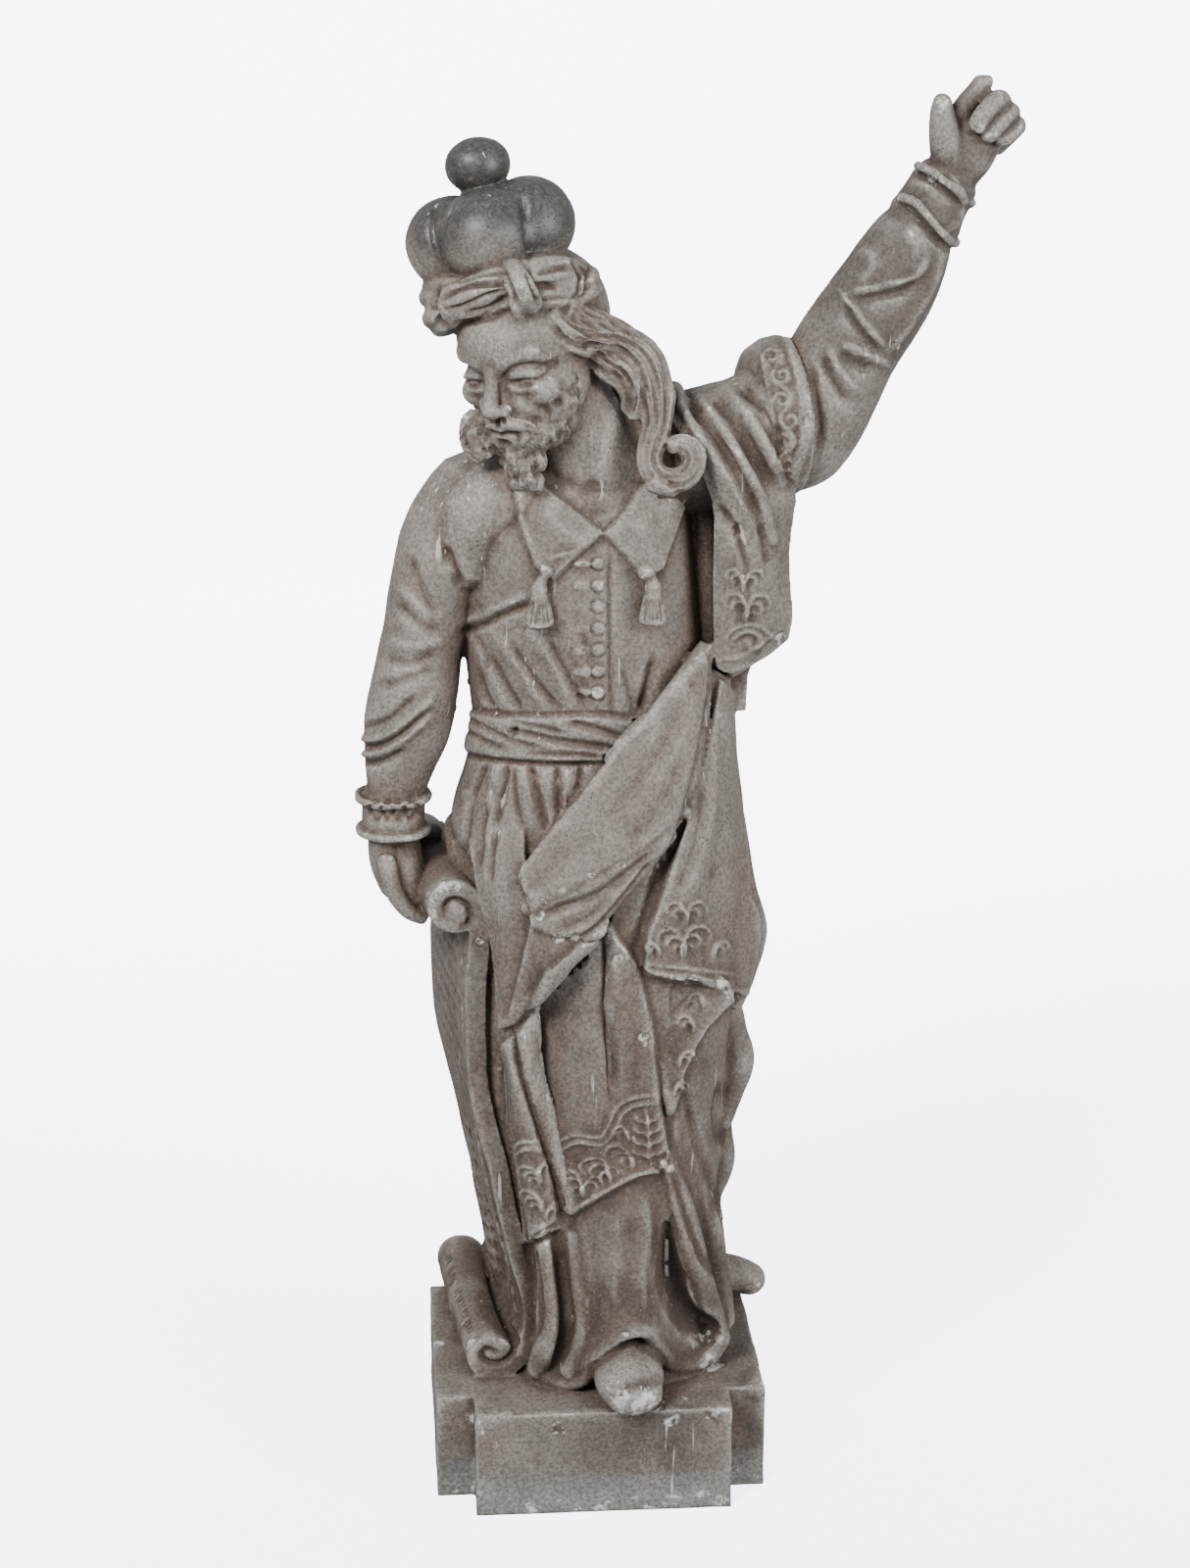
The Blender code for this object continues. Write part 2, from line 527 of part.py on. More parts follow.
def cape(clay):
    clay.cloth([[(58, 926, 14), (92, 922, 14), (128, 938, 10), (148, 950, 4)],
                [(62, 908, -34), (90, 906, -42), (118, 914, -46), (146, 924, -54)],
                [(84, 876, -56), (108, 872, -62), (130, 876, -62), (156, 884, -54)],
                [(99, 838, -56), (122, 835, -62), (142, 840, -58), (162, 846, -44)],
                [(101, 790, -54), (120, 790, -60), (140, 792, -56), (156, 792, -38)],
                [(101, 740, -54), (120, 738, -60), (142, 740, -56), (160, 744, -40)],
                [(104, 702, -52), (118, 696, -56), (138, 708, -54), (160, 724, -42)]], 16)
    clay.slab([(104, 880), (106, 800), (106, 735), (110, 698), (116, 690), (126, 696), (143, 710),
               (156, 722),
               (158, 735), (152, 768), (152, 801), (155, 821), (158, 838), (160, 880)], -50, -4)
    # its plain back, falling from the lifted sleeve
    clay.cloth([[(40, 900, 58), (80, 905, 56), (120, 912, 46), (146, 918, 30)],
                [(44, 840, 72), (82, 840, 68), (118, 840, 54), (148, 842, 32)],
                [(48, 770, 74), (84, 768, 68), (116, 768, 52), (143, 770, 28)],
                [(52, 704, 74), (84, 700, 66), (112, 702, 48), (132, 708, 26)]], 16)
    for back in ([(66, 905, 60, 8), (72, 820, 74, 9), (76, 740, 74, 9), (78, 706, 70, 7)],
                 [(100, 908, 54, 8), (103, 830, 63, 9), (104, 760, 60, 9), (102, 712, 54, 7)],
                 [(128, 914, 42, 7), (130, 840, 48, 8), (126, 770, 44, 8), (120, 718, 40, 6)]):
        clay.tube(back)
    clay.slab([(108, 740), (105, 680), (108, 669), (115, 662), (128, 662), (129, 692), (138, 720),
               (120, 760)],
              -34, 6)
    for fold in ([(66, 932, -10, 8), (78, 908, -40, 9), (94, 880, -58, 9), (108, 850, -64, 8),
                  (122, 815, -64, 7),
                  (126, 790, -62, 5)],
                 [(90, 924, -14, 8), (106, 898, -52, 10), (122, 868, -66, 10), (136, 838, -64, 9),
                  (146, 808, -60, 6)],
                 [(108, 930, -14, 8), (126, 908, -54, 9), (142, 880, -64, 9), (152, 856, -58, 7)],
                 [(126, 938, -20, 8), (142, 912, -60, 8), (154, 885, -62, 7)]):
        clay.tube(fold)


def mantle(clay):
    clay.cloth([[(94, 722, -52), (72, 694, -76), (48, 664, -90), (14, 622, -100), (-24, 574, -108),
                 (-58, 528, -106)],
                [(92, 690, -58), (78, 655, -84), (54, 622, -98), (24, 588, -108), (-12, 548, -116),
                 (-54, 508, -112)],
                [(90, 650, -66), (80, 610, -92), (60, 570, -108), (28, 540, -116), (-8, 512, -122),
                 (-50, 490, -116)],
                [(84, 610, -76), (70, 570, -100), (44, 530, -112), (14, 490, -116), (-28, 452, -114),
                 (-72, 396, -100)]],
               16)
    clay.tube([(-58, 494, -112, 9), (-40, 500, -118, 11), (-16, 510, -122, 11), (15, 529, -120, 10),
               (46, 546, -112, 9), (72, 572, -104, 8)])
    clay.tube([(-56, 478, -112, 8), (-28, 468, -120, 10), (-8, 471, -124, 10), (6, 482, -122, 9),
               (24, 504, -120, 8), (48, 532, -114, 8), (64, 552, -110, 7)])
    clay.tube([(-72, 392, -100, 7), (-56, 412, -110, 8), (-34, 438, -116, 8), (-8, 464, -120, 8)])
    # stone behind the slit, and the skirt that runs down into the mantle's tip
    clay.cloth([[(86, 706, -46), (112, 690, -36)], [(66, 620, -74), (104, 610, -62)],
                [(44, 560, -92), (90, 550, -82)],
                [(20, 500, -101), (72, 490, -98)], [(8, 440, -100), (62, 430, -101)]], 14)
    clay.cloth([[(-104, 596, -24), (-80, 600, -52), (-54, 596, -66)],
                [(-97, 540, -62), (-78, 540, -84), (-54, 530, -96)],
                [(-90, 500, -78), (-74, 500, -97), (-50, 500, -105)],
                [(-85, 460, -82), (-72, 460, -98), (-48, 466, -106)],
                [(-82, 425, -86), (-70, 425, -98), (-50, 440, -104)],
                [(-79, 384, -90), (-73, 388, -96), (-64, 400, -100)]],
               14)
    # hanging end with its underside
    clay.cloth([[(100, 690, -46), (108, 680, -36), (110, 660, -20)],
                [(92, 636, -70), (108, 630, -58), (114, 600, -28)],
                [(76, 570, -94), (102, 560, -82), (122, 560, -40)],
                [(60, 510, -106), (90, 505, -98), (128, 502, -56)],
                [(46, 468, -112), (84, 465, -104), (138, 470, -58)],
                [(42, 436, -114), (84, 425, -108), (128, 410, -66)]], 18)
    clay.tube([(112, 600, -30, 10), (120, 560, -36, 10), (128, 505, -44, 11), (137, 468, -48, 12),
               (128, 430, -52, 12), (122, 404, -56, 8)])
    clay.tube([(104, 640, -20, 14), (112, 590, -20, 14), (114, 540, -20, 16), (118, 480, -20, 18)])
    clay.slab([(64, 440), (112, 426), (122, 404), (100, 381), (90, 363), (80, 338), (76, 317), (66, 300),
               (56, 360)],
              -104, -60)


def lower_robe(clay):
    # the tunic's left strip
    clay.cloth([[(-84, 440, -74), (-68, 440, -82), (-56, 430, -82)],
                [(-80, 380, -82), (-68, 380, -92), (-56, 372, -90)],
                [(-76, 300, -82), (-62, 300, -92), (-44, 296, -90)],
                [(-67, 240, -84), (-50, 240, -93), (-32, 236, -91)],
                [(-57, 186, -86), (-44, 192, -93), (-32, 203, -92)]], 12)
    clay.tube([(114, 404, -24, 13), (119, 378, -24, 14), (123, 350, -24, 17), (118, 322, -26, 13),
               (108, 296, -26, 13)], side=(1, 0, 0))
    clay.tube([(98, 320, -20, 20), (104, 284, -18, 17), (108, 256, -16, 16), (98, 222, -16, 14),
               (100, 190, -20, 15),
               (108, 120, -24, 14)], side=(1, 0, 0))
    clay.tube([(62, 262, -88, 10), (76, 215, -84, 12), (88, 165, -76, 13), (101, 120, -66, 12),
               (112, 86, -60, 10)])
    clay.tube([(86, 250, -64, 12), (98, 200, -56, 12), (108, 150, -46, 12), (114, 105, -44, 12)])
    clay.cloth([[(-64, 220, -66), (-48, 220, -82), (-32, 222, -88), (-10, 226, -90)],
                [(-56, 160, -74), (-44, 160, -90), (-28, 160, -92), (-8, 160, -100)],
                [(-52, 105, -76), (-40, 105, -94), (-24, 105, -96), (-6, 105, -106)],
                [(-60, 52, -66), (-44, 52, -88), (-22, 50, -98), (-4, 52, -108)]], 18)
    clay.tube([(-44, 190, -86, 7), (-40, 140, -93, 9), (-40, 95, -96, 10), (-48, 62, -86, 9)])
    clay.tube([(-16, 190, -94, 7), (-11, 140, -101, 9), (-9, 100, -106, 10), (-18, 62, -100, 11)])
    # the front of the robe, spreading to a hem that arches over the foot
    clay.cloth([[(-14, 276, -78), (8, 278, -84), (34, 280, -84), (62, 276, -76)],
                [(-14, 226, -88), (8, 230, -97), (34, 236, -98), (62, 234, -84)],
                [(-10, 170, -92), (10, 170, -108), (36, 170, -108), (62, 168, -88)],
                [(-10, 120, -94), (12, 118, -112), (38, 118, -112), (66, 116, -88)],
                [(-14, 74, -96), (12, 88, -114), (42, 98, -116), (72, 86, -84)],
                [(-14, 50, -98), (8, 72, -114), (42, 94, -116), (76, 64, -78)]], 18)
    clay.tube([(-46, 56, -84, 8), (-24, 48, -98, 8), (-6, 54, -106, 8), (4, 72, -112, 7), (18, 90, -116, 7),
               (36, 98, -117, 7), (50, 92, -114, 7), (60, 77, -104, 8), (70, 64, -88, 9), (86, 62, -76, 9),
               (102, 70, -68, 9), (112, 82, -62, 8)], step=4)


LAYERS = [
    # collar points
    (5, [(-64, 858), (-54, 820), (-45, 788), (-32, 776), (-10, 796), (9, 813), (-4, 838), (-26, 862)]),
    (5, [(9, 813), (26, 796), (43, 774), (58, 786), (66, 812), (74, 840), (52, 864), (34, 840)]),
    # cape edge over the chest
    (4, [(-104, 738), (-75, 752), (-52, 762), (-45, 790), (-54, 820), (-62, 856), (-104, 858),
         (-118, 800)]),
    # belt
    (6, [(-110, 672), (-79, 662), (-40, 661), (0, 661), (28, 656), (46, 664), (30, 640), (11, 616),
         (-41, 621),
         (-80, 625), (-110, 640)]),
    # front panel of the tunic and its left strip
    (8, [(-64, 378), (-40, 436), (13, 480), (40, 440), (56, 372), (62, 300), (66, 264), (57, 247),
         (39, 243),
         (18, 231), (2, 221), (-16, 209), (-25, 214), (-31, 239), (-46, 290), (-60, 340)]),
    (5, [(-78, 370), (-68, 376), (-62, 340), (-48, 290), (-34, 239), (-30, 206), (-54, 190), (-64, 240),
         (-72, 300)]),
]

STROKES = [
    # placket, chest folds and gathers under the belt
    (-4, 5, [(14, 799), (14, 730), (16, 662)]),
    (-6, 7, [(51, 706), (46, 682), (41, 662)]),
    (-6, 8, [(-121, 806), (-114, 790), (-107, 772)]),
    (4, 8, [(-90, 734), (-62, 700), (-34, 669)]),
    (4, 8, [(-40, 737), (-24, 700), (-8, 669)]),
    (-4, 6, [(-100, 700), (-80, 684), (-60, 668)]),
    (-3, 5, [(-104, 656), (-60, 650), (-20, 640), (16, 630)]),
    (-4, 6, [(-86, 612), (-92, 580), (-100, 540)]),
    (-4, 6, [(-70, 616), (-76, 590), (-79, 566)]),
    (-4, 6, [(-52, 612), (-44, 590), (-40, 566)]),
    (-4, 6, [(-30, 612), (-28, 590), (-32, 574)]),
    # long grooves of tunic and robe
    (-12, 9, [(-68, 380), (-58, 340), (-44, 290), (-30, 240), (-24, 208)]),
    (-10, 8, [(11, 480), (13, 433), (12, 402), (16, 370), (18, 345)]),
    (-4, 7, [(98, 684), (91, 637), (83, 602), (75, 567), (65, 541), (54, 520), (43, 480), (35, 446)]),
    (-9, 8, [(-31, 182), (-24, 140), (-21, 105), (-28, 68)]),
    (-16, 14, [(64, 190), (72, 145), (82, 112), (96, 96)]),
    # sleeves
    (5, 7, [(203, 1005), (220, 984), (236, 963)]),
    (5, 7, [(210, 1011), (240, 1014), (258, 1019), (274, 1036)]),
    (5, 7, [(206, 966), (222, 956), (240, 947)]),
    (5, 7, [(194, 962), (202, 946), (211, 930)]),
    (5, 8, [(-186, 636), (-160, 642), (-128, 668)]),
    (5, 8, [(-184, 662), (-156, 668), (-120, 692)]),
    (-5, 8, [(-170, 716), (-150, 708), (-126, 716)]),
    (-5, 8, [(-150, 800), (-140, 770), (-128, 742)]),
    # tassels at the collar points
    (8, 11, [(-43, 770), (-43, 756), (-43, 740)]),
    (8, 11, [(50, 770), (50, 756), (50, 740)]),
    # seams of the cape panel
    (4, 6, [(106, 700), (124, 706), (146, 722), (158, 740)]),
]


def plinth():
    """A low block whose four corners are stepped in, its arrises slightly broken."""
    w, d = PLINTH_WIDTH / 2, PLINTH_DEPTH / 2
    a, b = PLINTH_CORNER_WIDTH, PLINTH_CORNER_DEPTH
    corner = [(w, d - b), (w - a, d - b), (w - a, d)]
    outline = corner + [(-x, y) for x, y in reversed(corner)]
    outline += [(-x, -y) for x, y in corner] + [(x, -y) for x, y in reversed(corner)]
    n = len(outline)
    points = [(x, y, z) for z in (0, PLINTH_HEIGHT) for x, y in outline]
    faces = [list(range(n))[::-1], list(range(n, 2 * n))]
    faces += [[i, (i + 1) % n, n + (i + 1) % n, n + i] for i in range(n)]
    mesh = bpy.data.meshes.new("plinth")
    mesh.from_pydata(points, [], faces)
    obj = placed(mesh, "plinth")
    edges = obj.modifiers.new("arris", "BEVEL")
    edges.width = 0.0015
    edges.segments = 1
    return obj


def main():
    for obj in list(bpy.data.objects):
        bpy.data.objects.remove(obj)
    clay = Clay()
    for shape in (body, head, beard, hat, hat_band, hair, lifted_arm, lifted_hand, lowered_arm, lowered_hand,
                  scroll, feet, cape, mantle, lower_robe):
        shape(clay)
    skin = joined(clay.mesh(), CELL)
    carve(skin, STROKES, LAYERS)
    figure = placed(skin, "figure")
    fewer = figure.modifiers.new("facets", "DECIMATE")
    skin.calc_loop_triangles()
    fewer.ratio = FACETS / len(skin.loop_triangles)
    skin = finished(figure)
    p = vectors(skin, "co")
    p[:, 2] -= SHEET_PLINTH
    p *= UNIT
    p[:, 2] += PLINTH_HEIGHT
    skin.vertices.foreach_set("co", p.astype(np.float32).ravel())
    figure = placed(skin, "figure")
    figure.hide_render = True
    figure.display_type = "WIRE"
    statue = plinth()
    union = statue.modifiers.new("union", "BOOLEAN")
    union.operation = "UNION"
    union.solver = "EXACT"
    union.object = figure
    mesh = finished(statue)
    statue = placed(mesh, "prophet_statue")
    bpy.data.objects.remove(figure)
    stone = bpy.data.materials.new("soapstone")
    stone.use_nodes = True
    shader = stone.node_tree.nodes["Principled BSDF"]
    shader.inputs["Base Color"].default_value = STONE
    shader.inputs["Roughness"].default_value = ROUGHNESS
    shader.inputs["Metallic"].default_value = 0.0
    mesh.materials.clear()
    mesh.materials.append(stone)
    mesh.calc_loop_triangles()
    print("facets", len(mesh.loop_triangles))


main()
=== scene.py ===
# %% [markdown]
# # A carved soapstone statue
# The object is one block of soapstone: a robed figure with a lobed hat, a lifted arm and a long
# scroll, standing on a low plinth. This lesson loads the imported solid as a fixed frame, then carves
# a finer figure in its place. The carver's order is kept: rough masses first, folds next, hair and
# ornament last, and then the wear of the years.

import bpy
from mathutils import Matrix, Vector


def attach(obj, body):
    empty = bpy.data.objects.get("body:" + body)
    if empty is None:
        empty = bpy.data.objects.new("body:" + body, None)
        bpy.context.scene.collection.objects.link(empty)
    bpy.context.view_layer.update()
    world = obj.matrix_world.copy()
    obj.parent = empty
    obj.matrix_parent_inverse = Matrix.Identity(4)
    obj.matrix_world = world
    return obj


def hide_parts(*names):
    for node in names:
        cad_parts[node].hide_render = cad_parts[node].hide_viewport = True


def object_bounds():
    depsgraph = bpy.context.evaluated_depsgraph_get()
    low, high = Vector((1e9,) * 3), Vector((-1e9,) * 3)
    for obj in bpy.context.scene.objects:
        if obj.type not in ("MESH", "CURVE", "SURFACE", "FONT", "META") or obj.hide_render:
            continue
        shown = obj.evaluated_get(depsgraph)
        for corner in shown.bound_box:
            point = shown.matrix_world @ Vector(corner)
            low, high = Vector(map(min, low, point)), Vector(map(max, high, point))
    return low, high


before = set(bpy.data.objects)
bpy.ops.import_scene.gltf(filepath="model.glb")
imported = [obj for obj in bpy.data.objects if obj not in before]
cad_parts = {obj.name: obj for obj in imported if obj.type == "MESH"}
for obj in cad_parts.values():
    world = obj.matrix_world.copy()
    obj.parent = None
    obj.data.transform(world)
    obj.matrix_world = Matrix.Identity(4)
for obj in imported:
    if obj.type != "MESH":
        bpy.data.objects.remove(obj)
cad_box = [list(corner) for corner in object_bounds()]
print("CAD box", cad_box)

# %% Modules
import math

import bpy
import numpy as np
from mathutils import Vector
from mathutils.bvhtree import BVHTree

# %% [markdown]
# ## The drawing sheet
# Nearly all of the carving was judged from one point of view, so it is drawn on an upright sheet
# through the middle of the plinth, in millimetres, as seen from that point. A shape has a place
# (x, z) on the sheet and a depth y. Moving it in depth slides it along the line of sight, so it
# stays over the same place. The same numbers carve the solid model, so both have one outline.

# %% Sheet and sizes
MM = 0.001
PLINTH_WIDTH = 280.0
PLINTH_DEPTH = 286.0
PLINTH_HEIGHT = 93.0
PLINTH_CORNER_WIDTH = 32.0
PLINTH_CORNER_DEPTH = 36.0
EYE = np.array([-187.0, -2642.0, 1436.0])
CELL = 1.5
MOST_FACETS = 197000


def at(x, z, y=0.0):
    """The point at depth y that is seen over (x, z) of the sheet."""
    x, z, y = np.broadcast_arrays(*(np.asarray(v, float) for v in (x, z, y)))
    s = 1 - y / EYE[1]
    return np.stack([EYE[0] + (x - EYE[0]) * s, y, EYE[2] + (z - EYE[2]) * s], -1)


def seen(points):
    """The place on the sheet over which points are seen."""
    s = -EYE[1] / (points[:, 1] - EYE[1])
    return np.stack([EYE[0] + (points[:, 0] - EYE[0]) * s, EYE[2] + (points[:, 2] - EYE[2]) * s], -1)


print("sheet point in space", at(0, 600, -100))

# %% [markdown]
# ## Camera, floor and light
# The camera stands where the sheet's point of view is. A long lens keeps the figure free of
# distortion. The floor sweeps up into a pale backdrop far behind, and large soft lamps give the
# even studio light in which worn stone shows its shape.

# %% Camera
camera = bpy.data.objects.new("camera", bpy.data.cameras.new("camera"))
bpy.context.scene.collection.objects.link(camera)
camera.location = EYE * MM
camera.rotation_euler = (math.radians(90 - 17.5), 0, math.radians(-4.1))
camera.data.sensor_width = 36
camera.data.lens = 76.5
camera.data.clip_start = 0.05
bpy.context.scene.camera = camera
print("camera at", tuple(camera.location))


# %% Floor, backdrop and lamps
def pale_sweep():
    """A floor that curves up into a wall behind the statue, glowing with painted light that is dimmer on the
    floor than on the wall.
    """
    bend, wide, front, back = 1.5, 9.0, -7.0, 4.5
    profile = [(front, 0.0), (back, 0.0)]
    for step in range(1, 13):
        a = math.radians(90 * step / 12)
        profile.append((back + bend * math.sin(a), bend * (1 - math.cos(a))))
    profile.append((back + bend, 7.0))
    points = [(x, y, z) for y, z in profile for x in (-wide, wide)]
    faces = [(2 * i, 2 * i + 1, 2 * i + 3, 2 * i + 2) for i in range(len(profile) - 1)]
    mesh = bpy.data.meshes.new("sweep")
    mesh.from_pydata(points, [], faces)
    mesh.shade_smooth()
    sweep = bpy.data.objects.new("sweep", mesh)
    bpy.context.scene.collection.objects.link(sweep)
    paper = bpy.data.materials.new("white paper")
    paper.use_nodes = True
    inputs = paper.node_tree.nodes["Principled BSDF"].inputs
    inputs["Base Color"].default_value = (0.93, 0.91, 0.96, 1)
    inputs["Roughness"].default_value = 0.9
    inputs["Emission Color"].default_value = (0.94, 0.88, 1.0, 1)
    nodes, link = paper.node_tree.nodes, paper.node_tree.links.new
    # painted light: the paper's glow grows from the floor towards the wall
    apart, rise = nodes.new("ShaderNodeSeparateXYZ"), nodes.new("ShaderNodeMapRange")
    for name, value in (("From Min", -0.6), ("From Max", 3.0), ("To Min", 3.6), ("To Max", 6.5)):
        rise.inputs[name].default_value = value
    link(nodes.new("ShaderNodeTexCoord").outputs["Object"], apart.inputs[0])
    link(apart.outputs["Y"], rise.inputs["Value"])
    link(rise.outputs[0], inputs["Emission Strength"])
    mesh.materials.append(paper)
    # the paper's glow is painted light, rising from the floor to the wall; overlit paper would wash the stone
    # out, so only the camera sees it
    sweep.visible_diffuse = False
    sweep.visible_glossy = False


def lamp(name, place, aim, size, power):
    data = bpy.data.lights.new(name, "AREA")
    data.size = size
    data.energy = power
    obj = bpy.data.objects.new(name, data)
    bpy.context.scene.collection.objects.link(obj)
    obj.location = place
    obj.rotation_euler = (Vector(aim) - Vector(place)).to_track_quat("-Z", "Y").to_euler()


pale_sweep()
lamp("key", (-1.9, -2.5, 2.9), (0, 0, 0.7), 1.3, 310)
lamp("fill", (2.6, -2.2, 1.5), (0, 0, 0.6), 2.0, 190)
lamp("back wall", (0, 1.8, 4.0), (0, 6.5, 1.6), 3.0, 330)
world = bpy.data.worlds.new("studio")
world.use_nodes = True
world.node_tree.nodes["Background"].inputs["Color"].default_value = (0.95, 0.96, 1.0, 1)
world.node_tree.nodes["Background"].inputs["Strength"].default_value = 0.72
bpy.context.scene.world = world
print("stage set")


# %% [markdown]
# ## Clay
# A carved figure has no parts, so it is roughed out as clay: closed shapes that run into each
# other. Later one skin is drawn round all of them. Limbs are tubes of changing radius, cloth is a
# sheet of even thickness over a net of points, and the body is a stack of rounded oblongs.

# %% Lines, axes and clay
def eased(points, count):
    """A smooth line of count places through the points."""
    p = np.asarray(points, float)
    ends = np.concatenate([2 * p[:1] - p[1:2], p, 2 * p[-1:] - p[-2:-1]])
    t = np.linspace(0, len(p) - 1, count)
    i = np.minimum(t.astype(int), len(p) - 2)
    f = (t - i).reshape((-1,) + (1,) * (p.ndim - 1))
    a, b, c, d = ends[i], ends[i + 1], ends[i + 2], ends[i + 3]
    bend = (2 * a - 5 * b + 4 * c - d) * f**2 + (3 * b - a - 3 * c + d) * f**3
    return 0.5 * (2 * b + (c - a) * f + bend)


def unit(v):
    return v / np.maximum(np.linalg.norm(v, axis=-1, keepdims=True), 1e-9)


def turned(yaw, nod, lean):
    """Axes of a head turned about Z, then nodded forward and leant to its right, in degrees."""
    a, b, c = np.radians([yaw, nod, lean])
    rz = [[math.cos(a), -math.sin(a), 0], [math.sin(a), math.cos(a), 0], [0, 0, 1]]
    rx = [[1, 0, 0], [0, math.cos(b), -math.sin(b)], [0, math.sin(b), math.cos(b)]]
    ry = [[math.cos(c), 0, math.sin(c)], [0, 1, 0], [-math.sin(c), 0, math.cos(c)]]
    return np.array(ry) @ np.array(rz) @ np.array(rx)


class Clay:
    """Closed shapes that overlap each other, gathered to be joined."""

    def __init__(self):
        self.points = []
        self.faces = []
        self.total = 0

    def add(self, points, faces):
        points = np.asarray(points, float).reshape(-1, 3)
        self.faces += [[i + self.total for i in f] for f in faces]
        self.points.append(points)
        self.total += len(points)

    def rings(self, rings):
        """A skin through rings of points, each end closed."""
        r = np.asarray(rings, float)
        n, m = r.shape[:2]
        faces = []
        for i in range(n - 1):
            for j in range(m):
                k = (j + 1) % m
                faces.append([i * m + j, i * m + k, (i + 1) * m + k, (i + 1) * m + j])
        faces.append(list(range(m))[::-1])
        faces.append(list(range((n - 1) * m, n * m)))
        self.add(r, faces)

    def tube(self, rows, side=(0.3, -1.0, 0.2), sides=20, step=4.0):
        """A round-ended limb through rows of (x, z, depth, radius across the side, other radius)."""
        r = np.array(rows, float)
        r = np.hstack([at(r[:, 0], r[:, 1], r[:, 2]), r[:, 3:]])
        length = np.linalg.norm(np.diff(r[:, :3], axis=0), axis=1).sum()
        r = eased(r, max(4, int(length / step) + 2))
        p, wide, thick = r[:, :3], r[:, 3], r[:, -1]
        t = unit(np.gradient(p, axis=0))
        s = unit(np.array(side) - t * (t @ np.array(side))[:, None])
        u = np.cross(t, s)
        places = [(p[i], 1, i) for i in range(len(p))]
        for angle in (65, 40, 15):
            c, back = math.sin(math.radians(angle)), math.cos(math.radians(angle))
            places.insert(0, (p[0] - back * min(wide[0], thick[0]) * t[0], c, 0))
            places.append((p[-1] + back * min(wide[-1], thick[-1]) * t[-1], c, -1))
        a = np.linspace(0, 2 * math.pi, sides, endpoint=False)
        across, along = np.cos(a)[:, None], np.sin(a)[:, None]
        self.rings([q + c * (across * wide[i] * s[i] + along * thick[i] * u[i]) for q, c, i in places])

    def ball(self, centre, radii, axes=None):
        lat = np.radians(np.arange(-85, 86, 5))[:, None]
        lon = np.radians(np.arange(0, 360, 8))[None, :]
        q = np.stack([np.cos(lat) * np.cos(lon), np.cos(lat) * np.sin(lon), np.sin(lat) + 0 * lon], -1)
        q = q * np.broadcast_to(radii, (3,))
        if axes is not None:
            q = q @ axes.T
        self.rings(q + centre)

    def barrel(self, rows, power=2.3, sides=120, folds=None):
        """A body through rows of (z, left, right, front, back), each a rounded oblong."""
        r = eased(np.array(rows, float), 120)
        a = np.linspace(0, 2 * math.pi, sides, endpoint=False)
        c, s = np.cos(a), np.sin(a)
        c = np.sign(c) * np.abs(c) ** (2 / power)
        s = np.sign(s) * np.abs(s) ** (2 / power)
        rings = []
        for z, left, right, front, back in r:
            k = 1 + (folds(a, z) if folds else 0)
            x = (left + right) / 2 + c * k * (right - left) / 2
            y = (front + back) / 2 + s * k * (back - front) / 2
            rings.append(np.stack([x, y, np.full(sides, z)], -1))
        self.rings(rings)

    def slab(self, outline, near, far):
        """An outline on the sheet carried from one depth to another."""
        o = np.array(outline, float)
        self.rings([at(o[:, 0], o[:, 1], near), at(o[:, 0], o[:, 1], far)])

    def cloth(self, net, thick, size=(60, 60)):
        """A cloth of even thickness over a net of (x, z, depth) on the sheet."""
        g = np.array(net, float)
        g = at(g[..., 0], g[..., 1], g[..., 2])
        g = np.swapaxes(eased(np.swapaxes(eased(g, size[0]), 0, 1), size[1]), 0, 1)
        n = unit(np.cross(np.gradient(g, axis=0), np.gradient(g, axis=1)))
        h, w = g.shape[:2]
        i = np.arange(h * w).reshape(h, w)
        top = np.stack([i[:-1, :-1], i[1:, :-1], i[1:, 1:], i[:-1, 1:]], -1).reshape(-1, 4)
        rim = np.concatenate([i[0], i[1:, -1], i[-1, -2::-1], i[-2:0:-1, 0]])
        after = np.roll(rim, -1)
        faces = top.tolist() + (top[:, ::-1] + h * w).tolist()
        faces += np.stack([rim, after, after + h * w, rim + h * w], -1).tolist()
        self.add(np.concatenate([g + n * thick / 2, g - n * thick / 2]).reshape(-1, 3), faces)

    def mesh(self):
        mesh = bpy.data.meshes.new("clay")
        mesh.from_pydata(np.vstack(self.points).tolist(), [], self.faces)
        return mesh


clay = Clay()
print("clay ready")


# %% Objects and meshes
def placed(mesh, name):
    obj = bpy.data.objects.new(name, mesh)
    bpy.context.scene.collection.objects.link(obj)
    return obj


def finished(obj):
    """The mesh an object's modifiers give; the object goes."""
    bpy.context.view_layer.update()
    graph = bpy.context.evaluated_depsgraph_get()
    mesh = bpy.data.meshes.new_from_object(obj.evaluated_get(graph))
    bpy.data.objects.remove(obj)
    return mesh


def vectors(mesh, kind):
    v = np.empty(len(mesh.vertices) * 3, np.float32)
    mesh.vertices.foreach_get(kind, v)
    return v.reshape(-1, 3).astype(float)


def gather(mesh):
    """Adds a finished mesh, such as one from Geometry Nodes, to the clay."""
    clay.add(vectors(mesh, "co"), [list(p.vertices) for p in mesh.polygons])
    bpy.data.meshes.remove(mesh)


# %% [markdown]
# ## Locks and cords by Geometry Nodes
# A lock of hair, a tassel and the twisted cloth of the hat's band all follow a path, and all show
# rope-like strands. One node tree makes them: it takes a curve with a radius at each point, turns
# the profile a little as it goes, and sweeps a circle whose rim is cut into strands.

